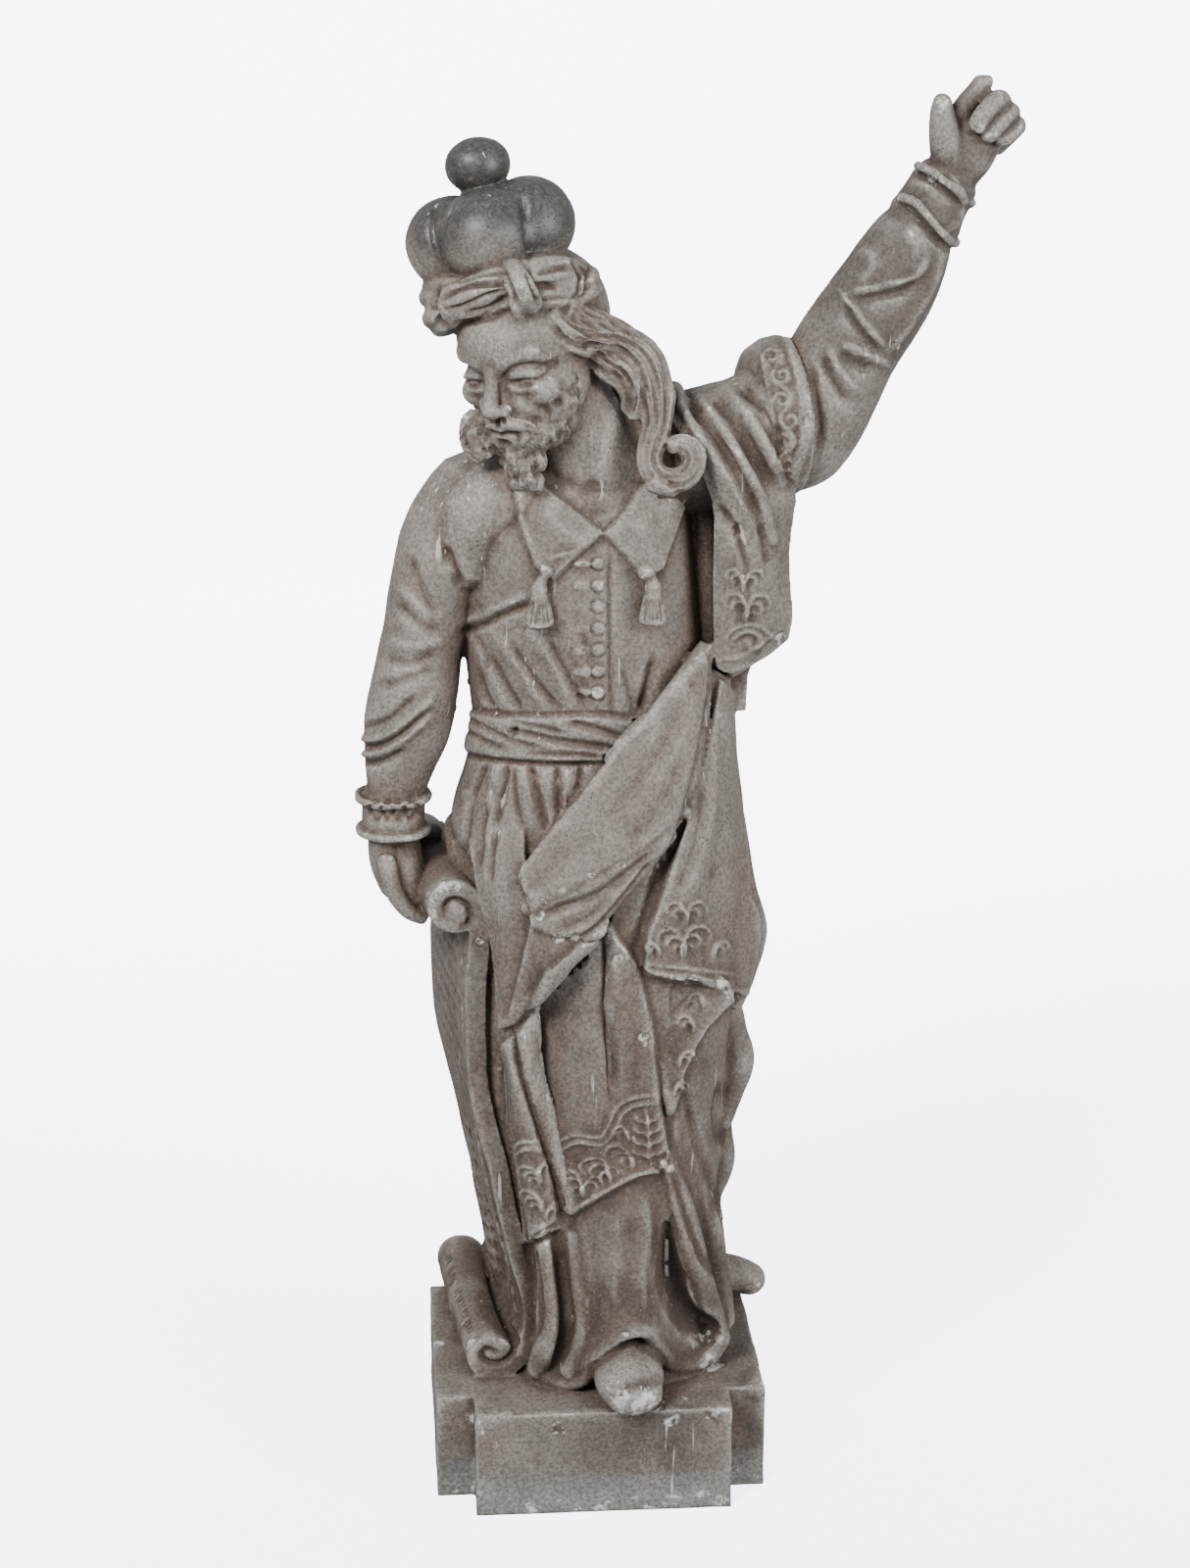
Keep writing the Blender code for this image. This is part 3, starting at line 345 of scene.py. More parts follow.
# %% Node helpers
def grower(tree):
    """Two helpers for a tree: node(kind, {input: value or socket}, setting=value) and calc(sum)."""
    def node(kind, inputs=None, **settings):
        made = tree.nodes.new(kind)
        for key, value in settings.items():
            setattr(made, key, value)
        for key, value in (inputs or {}).items():
            if isinstance(value, bpy.types.NodeSocket):
                tree.links.new(value, made.inputs[key])
            else:
                made.inputs[key].default_value = value
        return made

    def calc(operation, *values, clamp=False):
        made = node("ShaderNodeMath", dict(enumerate(values)), operation=operation, use_clamp=clamp)
        return made.outputs[0]

    return node, calc


def group(name, result, **inputs):
    """A geometry tree with these inputs, each a kind and a value, a material input and a result."""
    tree = bpy.data.node_groups.new(name, "GeometryNodeTree")
    inputs["Material"] = ("Material", None)
    for key, (kind, value) in inputs.items():
        socket = tree.interface.new_socket(key, in_out="INPUT", socket_type="NodeSocket" + kind)
        if value is not None:
            socket.default_value = value
    tree.interface.new_socket(result, in_out="OUTPUT", socket_type="NodeSocketGeometry")
    return tree


def set_inputs(modifier, **values):
    """Sets a node modifier's named inputs through their identifiers."""
    for item in modifier.node_group.interface.items_tree:
        if item.in_out == "INPUT" and item.name in values:
            modifier[item.identifier] = values[item.name]


def painted(node, shape, given):
    """Ends a tree: instances made real, the material set, the result handed out."""
    real = node("GeometryNodeRealizeInstances", {0: shape})
    paint = node("GeometryNodeSetMaterial", {0: real.outputs[0], "Material": given["Material"]})
    node("NodeGroupOutput", {0: paint.outputs[0]})


print("node helpers ready")


# %% The strand tree
RIM = 72  # points round a lock's profile


def strand_tree():
    tree = group("strands along a path", "Strands mesh", Path=("Geometry", None), Strands=("Float", 6.0),
                 Groove=("Float", 0.12), Twist=("Float", 1.0), Spacing=("Float", 3.0))
    node, calc = grower(tree)
    given = node("NodeGroupInput").outputs
    even = node("GeometryNodeResampleCurve", {"Curve": given["Path"], "Length": given["Spacing"]},
                mode="LENGTH")
    along = node("GeometryNodeSplineParameter").outputs["Factor"]
    tilt = calc("MULTIPLY", calc("MULTIPLY", along, given["Twist"]), 2 * math.pi)
    path = node("GeometryNodeSetCurveTilt", {"Curve": even.outputs[0], "Tilt": tilt})
    circle = node("GeometryNodeCurvePrimitiveCircle", {"Resolution": RIM, "Radius": 1.0}, mode="RADIUS")
    angle = calc("MULTIPLY", node("GeometryNodeInputIndex").outputs[0], 2 * math.pi / RIM)
    wave = calc("ABSOLUTE", calc("COSINE", calc("MULTIPLY", angle, given["Strands"])))
    swell = calc("ADD", 1.0, calc("MULTIPLY", wave, given["Groove"]))
    place = node("GeometryNodeInputPosition").outputs[0]
    scaled = node("ShaderNodeVectorMath", {0: place, "Scale": swell}, operation="SCALE")
    rim = node("GeometryNodeSetPosition", {"Geometry": circle.outputs["Curve"],
                                           "Position": scaled.outputs[0]})
    sweep = node("GeometryNodeCurveToMesh", {
        "Curve": path.outputs[0], "Profile Curve": rim.outputs[0], "Fill Caps": True,
        "Scale": node("GeometryNodeInputRadius").outputs[0]})
    painted(node, sweep.outputs[0], given)
    return tree


STRANDS = strand_tree()


def lock(rows, strands=5, groove=0.14, twist=0.5, spacing=3.0):
    """A stranded lock or cord along rows of (x, z, depth, radius)."""
    r = np.array(rows, float)
    r = eased(np.hstack([at(r[:, 0], r[:, 1], r[:, 2]), r[:, 3:4]]), 4 * len(r))
    curve = bpy.data.curves.new("lock", "CURVE")
    curve.dimensions = "3D"
    spline = curve.splines.new("POLY")
    spline.points.add(len(r) - 1)
    for point, (x, y, z, radius) in zip(spline.points, r):
        point.co = (x, y, z, 1)
        point.radius = max(radius, 0.5)
    obj = placed(curve, "lock")
    modifier = obj.modifiers.new("strands", "NODES")
    modifier.node_group = STRANDS
    set_inputs(modifier, Strands=strands / 2, Groove=groove, Twist=twist, Spacing=spacing)
    gather(finished(obj))


print("strand tree has", len(STRANDS.nodes), "nodes")


# %% [markdown]
# ## Body, shoulders and legs
# Under the cloth the body is a plain stack of oblongs. Its back carries upright folds worked out by
# a cosine, because the back of such a figure was left simpler by the carver.

# %% Body
def back_folds(a, z):
    """Plain upright folds round the back of the robe, fading out above the belt."""
    low = min(1, max(0, (660 - z) / 200))
    behind = np.clip(np.sin(a) * 1.4, 0, 1)
    return low * behind * (0.04 * np.cos(9 * a + 0.004 * z) + 0.02 * np.cos(14 * a - 0.006 * z + 1))


def body(clay):
    clay.barrel([(80, -40, 106, -98, 96), (110, -42, 106, -98, 92), (150, -46, 108, -98, 85),
                 (220, -58, 104, -98, 84),
                 (300, -68, 112, -98, 86), (380, -72, 116, -98, 88), (450, -72, 120, -100, 90),
                 (520, -92, 120, -102, 90), (570, -118, 116, -97, 86), (620, -106, 108, -86, 78),
                 (660, -99, 98, -78, 72), (720, -105, 90, -82, 74), (780, -107, 84, -84, 76),
                 (830, -108, 80, -78, 74), (868, -98, 78, -64, 68), (895, -72, 72, -48, 58)],
                folds=back_folds)
    # stone left between the scroll and the robe, and behind the hanging cape
    clay.slab([(-100, 520), (-97, 400), (-97, 300), (-80, 220), (-60, 110), (-20, 110),
               (-20, 520)], -46, 20)
    clay.tube([(-58, 580, 26, 28), (-72, 510, 34, 31), (-78, 400, 42, 34), (-76, 300, 46, 34),
               (-64, 200, 48, 32),
               (-48, 100, 46, 30)])
    clay.slab([(60, 880), (128, 880), (124, 700), (100, 672), (60, 672)], 0, 44)
    # the cloth that rises to the lifted arm, and the other shoulder
    clay.tube([(30, 868, -8, 40, 50), (75, 880, -6, 44, 50), (118, 890, -8, 46, 50)])
    clay.tube([(0, 862, -4, 44, 52), (-60, 850, -2, 42, 50), (-102, 832, -2, 38, 44)])
    clay.tube([(-58, 846, -30, 36, 38), (-88, 834, -30, 36, 36), (-102, 800, -30, 30, 30)])
    clay.tube([(-52, 884, 0, 26), (-76, 872, -8, 21)])
    # plain folds of the mantle across the back
    for k in range(5):
        z = 862 - 48 * k
        clay.tube([(98 - 2 * k, z, 42, 6), (50, z - 44, 68, 9), (0, z - 80, 74, 10), (-50, z - 106, 69, 9),
                   (-98, z - 122, 40, 6)])


body(clay)
print("clay points", clay.total)

# %% [markdown]
# ## Head
# The head is a calm one of plain proportions: eyes halfway up, and the face in three equal parts.
# It is built in its own axes, facing forward, then turned, nodded and leant as a whole.

# %% Head
HEAD_AXES = turned(-38, 12, -9)
HEAD_MIDDLE = at(-48, 970, -40)
HEAD_BALLS = (
    ((0, 10, 14), (56, 72, 60)),
    ((0, -14, -18), (49, 46, 50)),
    ((0, -22, -52), (38, 39, 26)),
    ((0, -46, -65), (15, 15, 13)),
    ((0, -42, 16), (40, 16, 15)),
    ((0, -42, -30), (30, 24, 24)),
    ((-24, -45, -4), (12, 10.5, 9)),
    ((24, -45, -4), (12, 10.5, 9)),
    ((-30, -41, -18), (15, 14, 13)),
    ((30, -41, -18), (15, 14, 13)),
    ((0, -54, -43), (20, 14, 12)),
)


def on_head(x, y, z):
    """A point in the head's own axes: x to its left, -y forward, z up from the eyes."""
    return HEAD_MIDDLE + HEAD_AXES @ np.array([x, y, z], float)


def sheet_rows(points, radii):
    """Points in space as rows of (x, z, depth, radius) on the sheet."""
    points = np.array(points, float)
    radii = np.broadcast_to(radii, (len(points),))
    return [(x, z, y, r) for (x, z), y, r in zip(seen(points), points[:, 1], radii)]


def skin_of_head(degrees, z, out=0.0):
    """Where a level ray, this many degrees from straight ahead, leaves the head's balls."""
    a = math.radians(degrees)
    way = np.array([math.sin(a), -math.cos(a), 0])
    start = np.array([0, -15.0, z])
    far = 0.0
    for centre, radii in HEAD_BALLS:
        d, o = way / radii, (start - centre) / np.array(radii)
        half = (d @ o) ** 2 - (d @ d) * (o @ o - 1)
        if half > 0:
            far = max(far, (math.sqrt(half) - d @ o) / (d @ d))
    return on_head(*(start + way * (far + out)))


def jaw(degrees):
    """How far the jaw has risen at this many degrees from straight ahead."""
    return 30 * (abs(degrees) / 84) ** 1.5


def head(clay):
    clay.tube([(18, 846, -20, 42, 44), (-4, 884, -30, 38, 42), (-26, 926, -32, 36, 40)])
    for centre, radii in HEAD_BALLS:
        clay.ball(on_head(*centre), radii, HEAD_AXES)
    # the beard's thickness along the jaw
    for degrees in range(-70, 71, 7):
        high, low = skin_of_head(degrees, jaw(degrees) - 50, -4), skin_of_head(degrees, jaw(degrees) - 62, -3)
        clay.tube(sheet_rows([high, low], (4, 6)), step=3)
    # nose: ridge, tip and wings
    ridge = [on_head(0, -57, 9), on_head(0, -64, -4), on_head(0, -73, -20)]
    clay.tube(sheet_rows(ridge, (6, 5.5, 6.5)), step=3)
    clay.ball(on_head(0, -73, -22), (7.5, 7.5, 6.5), HEAD_AXES)
    for side in (-1, 1):
        clay.ball(on_head(side * 8, -66, -24), (5.5, 7, 5), HEAD_AXES)
    # lips
    clay.ball(on_head(0, -66, -40), (11, 5, 2.8), HEAD_AXES)
    clay.ball(on_head(0, -65, -46), (9, 5, 3.4), HEAD_AXES)


def beard():
    """Short wavy locks along the jaw, the moustache, and the curled tufts of the chin."""
    for row in range(2):
        for degrees in range(-70 + 6 * row, 71, 12):
            side = 1 if degrees > 0 else -1
            rise = jaw(degrees) - 7 * row
            path = [skin_of_head(degrees, rise - 42, -2), skin_of_head(degrees + 5 * side, rise - 51, 1),
                    skin_of_head(degrees - 1 * side, rise - 60, 2),
                    skin_of_head(degrees + 4 * side, rise - 68, 1)]
            lock(sheet_rows(path, (2.0, 4.2, 4.4, 2.2)), strands=4, groove=0.3, twist=0.3, spacing=1.5)
    for side in (-1, 1):
        path = [on_head(side * 2, -69, -33), on_head(side * 11, -67, -35.5), on_head(side * 20, -59, -42),
                on_head(side * 26, -51, -54), on_head(side * 24, -49, -60)]
        lock(sheet_rows(path, (3, 4.4, 4.4, 3.4, 2)), strands=5, groove=0.28, twist=0.2, spacing=1.5)
        path = [on_head(side * 4, -57, -64), on_head(side * 7, -61, -76), on_head(side * 6, -58, -86),
                on_head(side * 11, -55, -91), on_head(side * 14, -58, -87)]
        lock(sheet_rows(path, (5, 6.5, 6, 4.2, 2.6)), strands=6, groove=0.3, twist=0.4, spacing=1.5)
        path = [on_head(side * 12, -54, -62), on_head(side * 16, -54, -72), on_head(side * 14, -52, -82)]
        lock(sheet_rows(path, (4, 6, 4)), strands=5, groove=0.25, twist=0.3, spacing=1.5)
    path = [on_head(0, -62, -52), on_head(0, -64, -60), on_head(1, -62, -74), on_head(-1, -56, -86)]
    lock(sheet_rows(path, (3, 5, 7, 5)), strands=5, groove=0.25, twist=0.3, spacing=1.5)


head(clay)
beard()
print("head at", HEAD_MIDDLE)

# %% [markdown]
# ## Hat
# Five swelling lobes stand round a ball, like segments of a fruit. Below them a band of cloth is
# wound in two strands that pass over each other, held by a strap.

# %% Hat
HAT_AXES = turned(0, -13, -8)
HAT_MIDDLE = at(-66, 1010, -32)


def on_hat(x, y, z):
    return HAT_MIDDLE + HAT_AXES @ np.array([x, y, z], float)


def hat(clay):
    clay.ball(on_hat(0, 0, 2), (58, 58, 18), HAT_AXES)
    for k, (size, lift) in enumerate(((39, 0), (37, 6), (36, 6), (36, 2), (37, 0))):
        a = math.radians(-98 + 72 * k)
        clay.ball(on_hat(32 * math.cos(a) - 6, 31 * math.sin(a), 46 + lift), (size, size, 37), HAT_AXES)
        clay.ball(on_hat(25 * math.cos(a) - 4, 25 * math.sin(a), 26), (size - 6, size - 6, 28), HAT_AXES)
    clay.ball(on_hat(-7, -2, 79), (19, 19, 16), HAT_AXES)
    clay.ball(on_hat(-9, -4, 103), (26, 26, 22), HAT_AXES)
    # the strap that ties the band
    clay.tube([(-65, 1035, -88, 7, 4), (-61, 1024, -104, 11, 6), (-53, 1010, -107, 11, 6),
               (-46, 1000, -100, 8, 4)],
              side=(1, 0, 0.5))
    clay.tube([(-63, 1014, -105, 5), (-60, 1002, -104, 5.5), (-58, 992, -97, 4)])


def hat_band():
    """Two cloth strands side by side round the brow, slipping over each other."""
    for start, size in ((0.0, 14.5), (math.pi, 14.5)):
        path = []
        for a in np.radians(np.arange(-100, 261, 8)):
            slip = 1.5 * a + start
            path.append(on_hat((54 + 4 * math.cos(slip)) * math.cos(a),
                               (52 + 4 * math.cos(slip)) * math.sin(a),
                               8.5 * math.sin(slip)))
        lock(sheet_rows(path, size), strands=6, groove=0.16, twist=0.2, spacing=3)


hat(clay)
hat_band()
print("hat at", HAT_MIDDLE)

# %% [markdown]
# ## Hair
# Thick wavy locks come from under the band, cross the ear and fall to the shoulder, where one ends
# in a ring-shaped curl. Behind, simple locks hang down the nape.

# %% Hair
LOCKS = [
    [(-34, 996, -88, 5), (-24, 982, -86, 9), (-8, 974, -76, 11), (10, 973, -64, 12), (26, 969, -56, 12),
     (40, 958, -53, 13), (48, 940, -55, 13), (51, 922, -60, 12), (52, 904, -66, 10), (48, 888, -72, 9),
     (46, 874, -78, 8), (51, 863, -82, 8), (62, 858, -83, 8), (75, 860, -81, 8.5), (83, 871, -77, 8),
     (79, 883, -74, 7.5), (70, 888, -74, 6.5), (61, 885, -76, 5)],
    [(-22, 998, -82, 7), (-8, 990, -70, 9), (8, 982, -58, 11), (22, 976, -50, 10), (34, 966, -46, 9)],
    [(-30, 986, -90, 4), (-18, 971, -88, 5), (-4, 966, -80, 5), (8, 966, -70, 5)],
    [(-2, 966, -66, 6), (12, 957, -68, 7), (26, 951, -66, 8), (36, 938, -64, 8), (37, 922, -64, 6),
     (33, 908, -62, 4)],
    [(2, 960, -60, 6), (12, 948, -62, 7), (24, 940, -60, 7), (30, 928, -58, 6), (29, 914, -56, 4)],
    [(-92, 914, -46, 7), (-97, 904, -52, 9), (-98, 893, -56, 9), (-94, 883, -60, 8), (-87, 877, -62, 6)],
    [(-84, 912, -54, 6), (-88, 900, -60, 8), (-86, 888, -64, 8), (-82, 878, -64, 5)],
]


def hair():
    for rows in LOCKS:
        lock(rows, strands=9, groove=0.28, twist=0.3, spacing=2.5)
    for k in range(8):
        rows = [(9 * k - 52, 984, 36, 10), (10 * k - 42, 944, 48, 13), (14 * k - 46, 902, 54, 12),
                (16 * k - 52, 868, 58, 10), (17 * k - 58, 848, 58, 4)]
        lock(rows, strands=8, groove=0.25, twist=0.5 - 0.1 * k)


# the back of the head, under the hair
clay.ball(at(-26, 956, 12), (42, 44, 46))
hair()
print("locks", len(LOCKS) + 8)

# %% [markdown]
# ## Arms and hands
# The lifted arm leaves a wide bell sleeve at its rim and narrows to a turned-back cuff. The hand is
# shown as it is: thumb and first finger broken short, the others curled. The other arm hangs down
# to the scroll.


# %% Lifted arm
def lifted_arm(clay):
    # wide upper sleeve ending in a rim, with the forearm's sleeve coming out of it
    bell = []
    a = np.linspace(0, 2 * math.pi, 60, endpoint=False)[:, None]
    for x, z, out, front, high in ((62, 878, 2, 40, 44), (96, 884, 5, 46, 48), (123, 891, 9, 51, 53),
                                   (129, 895, 11, 53, 54), (133, 902, 13, 61, 63), (144, 907, 15, 62, 66),
                                   (157, 911, 16, 60, 65)):
        bell.append(at(x, z, -12) + np.cos(a) * [out, -front, 0] + np.sin(a) * [-4, -4, high])
    clay.rings(bell)
    clay.tube([(140, 892, -8, 52, 44), (162, 905, -12, 56, 46), (178, 920, -14, 50, 44),
               (192, 940, -18, 44, 42),
               (209, 971, -20, 42, 38), (236, 1011, -22, 40, 36), (254, 1046, -24, 34, 32),
               (263, 1062, -24, 28, 28)],
              side=(-0.8, 0, 0.55), sides=40)
    # turned-back cuff with its two rims
    clay.tube([(266, 1068, -25, 30, 28), (272, 1080, -25, 27, 26), (279, 1091, -25, 27, 26)],
              side=(-0.8, 0, 0.55), sides=40)
    clay.tube([(247, 1084, -40, 4), (258, 1080, -50, 4), (270, 1067, -54, 4), (282, 1053, -50, 4),
               (291, 1048, -36, 4)])
    clay.tube([(259, 1109, -38, 4), (270, 1104, -49, 4), (282, 1094, -53, 4), (293, 1085, -49, 4),
               (303, 1079, -36, 4)])


def lifted_hand(clay):
    clay.tube([(280, 1086, -26, 18, 16), (286, 1100, -27, 20, 15), (294, 1118, -28, 26, 15),
               (300, 1134, -28, 27, 14)], side=(-0.8, 0, 0.5), sides=30)
    clay.tube([(284, 1112, -32, 14), (280, 1132, -38, 13), (277, 1150, -40, 10), (277, 1158, -40, 8)])
    clay.tube([(287, 1136, -28, 12), (293, 1152, -28, 10), (302, 1164, -28, 9), (309, 1174, -28, 8)])
    for finger in ([(308, 1142, -18, 9), (322, 1157, -24, 9.5), (319, 1158, -38, 8.5), (311, 1150, -46, 8),
                    (306, 1142, -47, 8)],
                   [(316, 1134, -18, 9), (331, 1149, -24, 8), (329, 1148, -36, 7.5), (322, 1140, -43, 7),
                    (315, 1133, -45, 6.5)],
                   [(322, 1124, -18, 8), (338, 1139, -24, 6.5), (337, 1138, -34, 6.5), (331, 1132, -40, 6),
                    (325, 1129, -41, 5.5)]):
        clay.tube(finger, step=2)


lifted_arm(clay)
lifted_hand(clay)
print("clay points", clay.total)


# %% Lowered arm
def lowered_arm(clay):
    clay.tube([(-98, 846, -4, 38, 44), (-118, 812, -8, 38, 44), (-129, 770, -10, 37, 42),
               (-139, 728, -12, 34, 38),
               (-146, 690, -14, 36, 38), (-153, 655, -14, 36, 36), (-160, 622, -14, 29, 30),
               (-163, 600, -14, 24, 26)], side=(1, 0, 0), sides=40)
    # cuff with a rim above and below
    clay.tube([(-165, 592, -14, 26, 27), (-166, 574, -14, 26, 27)], side=(1, 0, 0), sides=40)
    for z, out in ((595, 29.5), (566, 28.5)):
        a = np.linspace(0, 2 * math.pi, 33)
        ring = at(-166, z, -14) + np.stack([out * np.cos(a), (out + 1) * np.sin(a), 0 * a], -1)
        clay.tube(sheet_rows(ring, 3.6), side=(0, 0, 1), sides=12)


def lowered_hand(clay):
    clay.tube([(-171, 566, -14, 16, 18), (-172, 540, -16, 15, 24), (-168, 518, -18, 12, 26)],
              side=(1, 0, 0), sides=30)
    for y in (-42, -27, -12, 3):
        clay.tube([(-172, 536, y, 8), (-167, 512, y - 2, 7.5), (-156, 494, y - 2, 7),
                   (-144, 486, y, 5.5)], step=2)
    clay.tube([(-165, 552, 16, 9), (-148, 560, 26, 9), (-132, 562, 32, 8)])
    clay.tube([(-162, 566, -12, 15, 18), (-158, 536, -14, 17, 26), (-152, 508, -16, 13, 26),
               (-146, 496, -16, 9, 24)],
              side=(1, 0, 0), sides=30)
    clay.tube([(-112, 566, 0, 13), (-106, 530, -20, 14)])


lowered_arm(clay)
lowered_hand(clay)
print("clay points", clay.total)

# %% [markdown]
# ## Scroll
# The scroll is a long sheet of even thickness. Its edge draws a slow S from the roll under the hand
# to the roll on the plinth, so it is an outline carried backwards, with a cylinder at each end.


# %% Scroll
def scroll(clay):
    back = np.array([-25.0, 191.0, 0.0])
    line = eased([(-103, 505), (-95, 488), (-95, 460), (-98, 430), (-99, 400), (-98, 350), (-95, 318),
                  (-88, 285), (-80, 252), (-74, 218), (-67, 185), (-60, 155), (-53, 128), (-52, 106),
                  (-57, 86), (-66, 70), (-80, 60), (-92, 60)], 120)
    ends = unit(np.gradient(line, axis=0)) @ np.array([[0, 1], [-1, 0]])
    wide = np.linspace(9, 8, len(line))[:, None]
    outline = np.vstack([line + ends * wide, (line - ends * wide)[::-1]])
    near = at(outline[:, 0], outline[:, 1], -71)
    clay.rings([near, near + back])
    top, low = at(-115, 494, -71), at(-89, 73, -71)
    for start, radius, end in ((top, 22.5, top + [-27, 185, 0]), (low, 20, low + back + [6, 14, 0])):
        a = np.linspace(0, 2 * math.pi, 60, endpoint=False)
        ring = np.stack([np.cos(a), 0 * a, np.sin(a)], -1) * radius
        clay.rings([start + ring, (start + end) / 2 + ring * 1.15, end + ring * 1.1])


def feet(clay):
    clay.tube([(31, 66, -100, 29, 27), (33, 47, -130, 29, 22),
               (38, 30, -147, 24, 15)], side=(1, 0, 0), sides=40)
    clay.tube([(100, 150, 62, 20, 22), (126, 147, 64, 18, 17),
               (138, 143, 64, 16, 15)], side=(0, 1, 0), sides=30)


scroll(clay)
feet(clay)
print("clay points", clay.total)

# %% [markdown]
# ## Cape, mantle and robe
# The big folds are what one sees from across a room, so they are clay too. The cape covers the
# lifted shoulder and hangs beside the chest; the mantle is drawn across the hips; the robe falls in
# long folds and its hem arches over the front foot.


# %% Cape
def cape(clay):
    clay.cloth([[(58, 926, 14), (92, 922, 14), (128, 938, 10), (148, 950, 4)],
                [(62, 908, -34), (90, 906, -42), (118, 914, -46), (146, 924, -54)],
                [(84, 876, -56), (108, 872, -62), (130, 876, -62), (156, 884, -54)],
                [(99, 838, -56), (122, 835, -62), (142, 840, -58), (162, 846, -44)],
                [(101, 790, -54), (120, 790, -60), (140, 792, -56), (156, 792, -38)],
                [(101, 740, -54), (120, 738, -60), (142, 740, -56), (160, 744, -40)],
                [(104, 702, -52), (118, 696, -56), (138, 708, -54), (160, 724, -42)]], 16)
    clay.slab([(104, 880), (106, 800), (106, 735), (110, 698), (116, 690), (126, 696), (143, 710),
               (156, 722),
               (158, 735), (152, 768), (152, 801), (155, 821), (158, 838), (160, 880)], -50, -4)
    # its plain back, falling from the lifted sleeve
    clay.cloth([[(40, 900, 58), (80, 905, 56), (120, 912, 46), (146, 918, 30)],
                [(44, 840, 72), (82, 840, 68), (118, 840, 54), (148, 842, 32)],
                [(48, 770, 74), (84, 768, 68), (116, 768, 52), (143, 770, 28)],
                [(52, 704, 74), (84, 700, 66), (112, 702, 48), (132, 708, 26)]], 16)
    for back in ([(66, 905, 60, 8), (72, 820, 74, 9), (76, 740, 74, 9), (78, 706, 70, 7)],
                 [(100, 908, 54, 8), (103, 830, 63, 9), (104, 760, 60, 9), (102, 712, 54, 7)],
                 [(128, 914, 42, 7), (130, 840, 48, 8), (126, 770, 44, 8), (120, 718, 40, 6)]):
        clay.tube(back)
    clay.slab([(108, 740), (105, 680), (108, 669), (115, 662), (128, 662), (129, 692), (138, 720),
               (120, 760)],
              -34, 6)
    clay.tube([(86, 872, -14, 9), (92, 820, -14, 10), (94, 760, -16, 10), (96, 706, -18, 9)])
    for fold in ([(66, 932, -10, 8), (78, 908, -40, 9), (94, 880, -58, 9), (108, 850, -64, 8),
                  (122, 815, -64, 7),
                  (126, 790, -62, 5)],
                 [(90, 924, -14, 8), (106, 898, -52, 10), (122, 868, -66, 10), (136, 838, -64, 9),
                  (146, 808, -60, 6)],
                 [(108, 930, -14, 8), (126, 908, -54, 9), (142, 880, -64, 9), (152, 856, -58, 7)],
                 [(126, 938, -20, 8), (142, 912, -60, 8), (154, 885, -62, 7)]):
        clay.tube(fold)


# %% Mantle
def mantle(clay):
    clay.cloth([[(94, 722, -52), (72, 694, -76), (48, 664, -90), (14, 622, -100), (-24, 574, -108),
                 (-58, 528, -106)],
                [(92, 690, -58), (78, 655, -84), (54, 622, -98), (24, 588, -108), (-12, 548, -116),
                 (-54, 508, -112)],
                [(90, 650, -66), (80, 610, -92), (60, 570, -108), (28, 540, -116), (-8, 512, -122),
                 (-50, 490, -116)],
                [(84, 610, -76), (70, 570, -100), (44, 530, -112), (14, 490, -116), (-28, 452, -114),
                 (-72, 396, -100)]],
               16)
    clay.tube([(-52, 494, -110, 8), (-36, 504, -116, 10), (-14, 514, -119, 11), (16, 533, -117, 10),
               (48, 551, -109, 9), (74, 576, -101, 8)])
    clay.tube([(-42, 478, -112, 6), (-28, 471, -118, 8), (-8, 474, -122, 9), (6, 486, -120, 9),
               (24, 508, -118, 8), (48, 535, -112, 8), (64, 555, -108, 7)])
    clay.tube([(-72, 392, -98, 6), (-56, 412, -107, 7), (-34, 438, -113, 7), (-8, 464, -117, 7)])
    # stone behind the slit, and the skirt that runs down into the mantle's tip
    clay.cloth([[(86, 706, -46), (112, 690, -36)], [(66, 620, -74), (104, 610, -62)],
                [(44, 560, -92), (90, 550, -82)],
                [(18, 500, -101), (72, 490, -98)], [(14, 440, -100), (66, 430, -101)],
                [(14, 390, -97), (64, 380, -98)], [(16, 340, -93), (62, 330, -94)],
                [(18, 300, -88), (60, 296, -88)]], 14)
    clay.cloth([[(-104, 596, -24), (-80, 600, -52), (-54, 596, -66)],
                [(-97, 540, -62), (-78, 540, -84), (-54, 530, -96)],
                [(-90, 500, -78), (-74, 500, -97), (-50, 500, -105)],
                [(-81, 460, -82), (-70, 460, -98), (-48, 466, -106)],
                [(-78, 425, -86), (-68, 425, -98), (-50, 440, -104)],
                [(-75, 384, -90), (-70, 388, -96), (-62, 400, -100)]],
               14)
    # hanging end with its underside
    clay.cloth([[(100, 690, -46), (108, 680, -36), (110, 660, -20)],
                [(92, 636, -70), (108, 630, -58), (114, 600, -28)],
                [(76, 570, -94), (102, 560, -82), (122, 560, -40)],
                [(60, 510, -106), (90, 505, -98), (128, 502, -56)],
                [(46, 468, -112), (84, 465, -104), (138, 470, -58)],
                [(42, 436, -114), (84, 425, -108), (128, 410, -66)]], 18)
    clay.tube([(112, 600, -30, 10), (120, 560, -36, 10), (128, 505, -44, 11), (137, 468, -48, 12),
               (128, 430, -52, 12), (122, 404, -56, 8)])
    clay.tube([(104, 640, -20, 14), (112, 590, -20, 14), (114, 540, -20, 16), (118, 480, -20, 18)])
    clay.slab([(64, 440), (112, 426), (122, 404), (100, 381), (90, 363), (80, 338), (76, 317), (66, 300),
               (56, 360)],
              -104, -60)


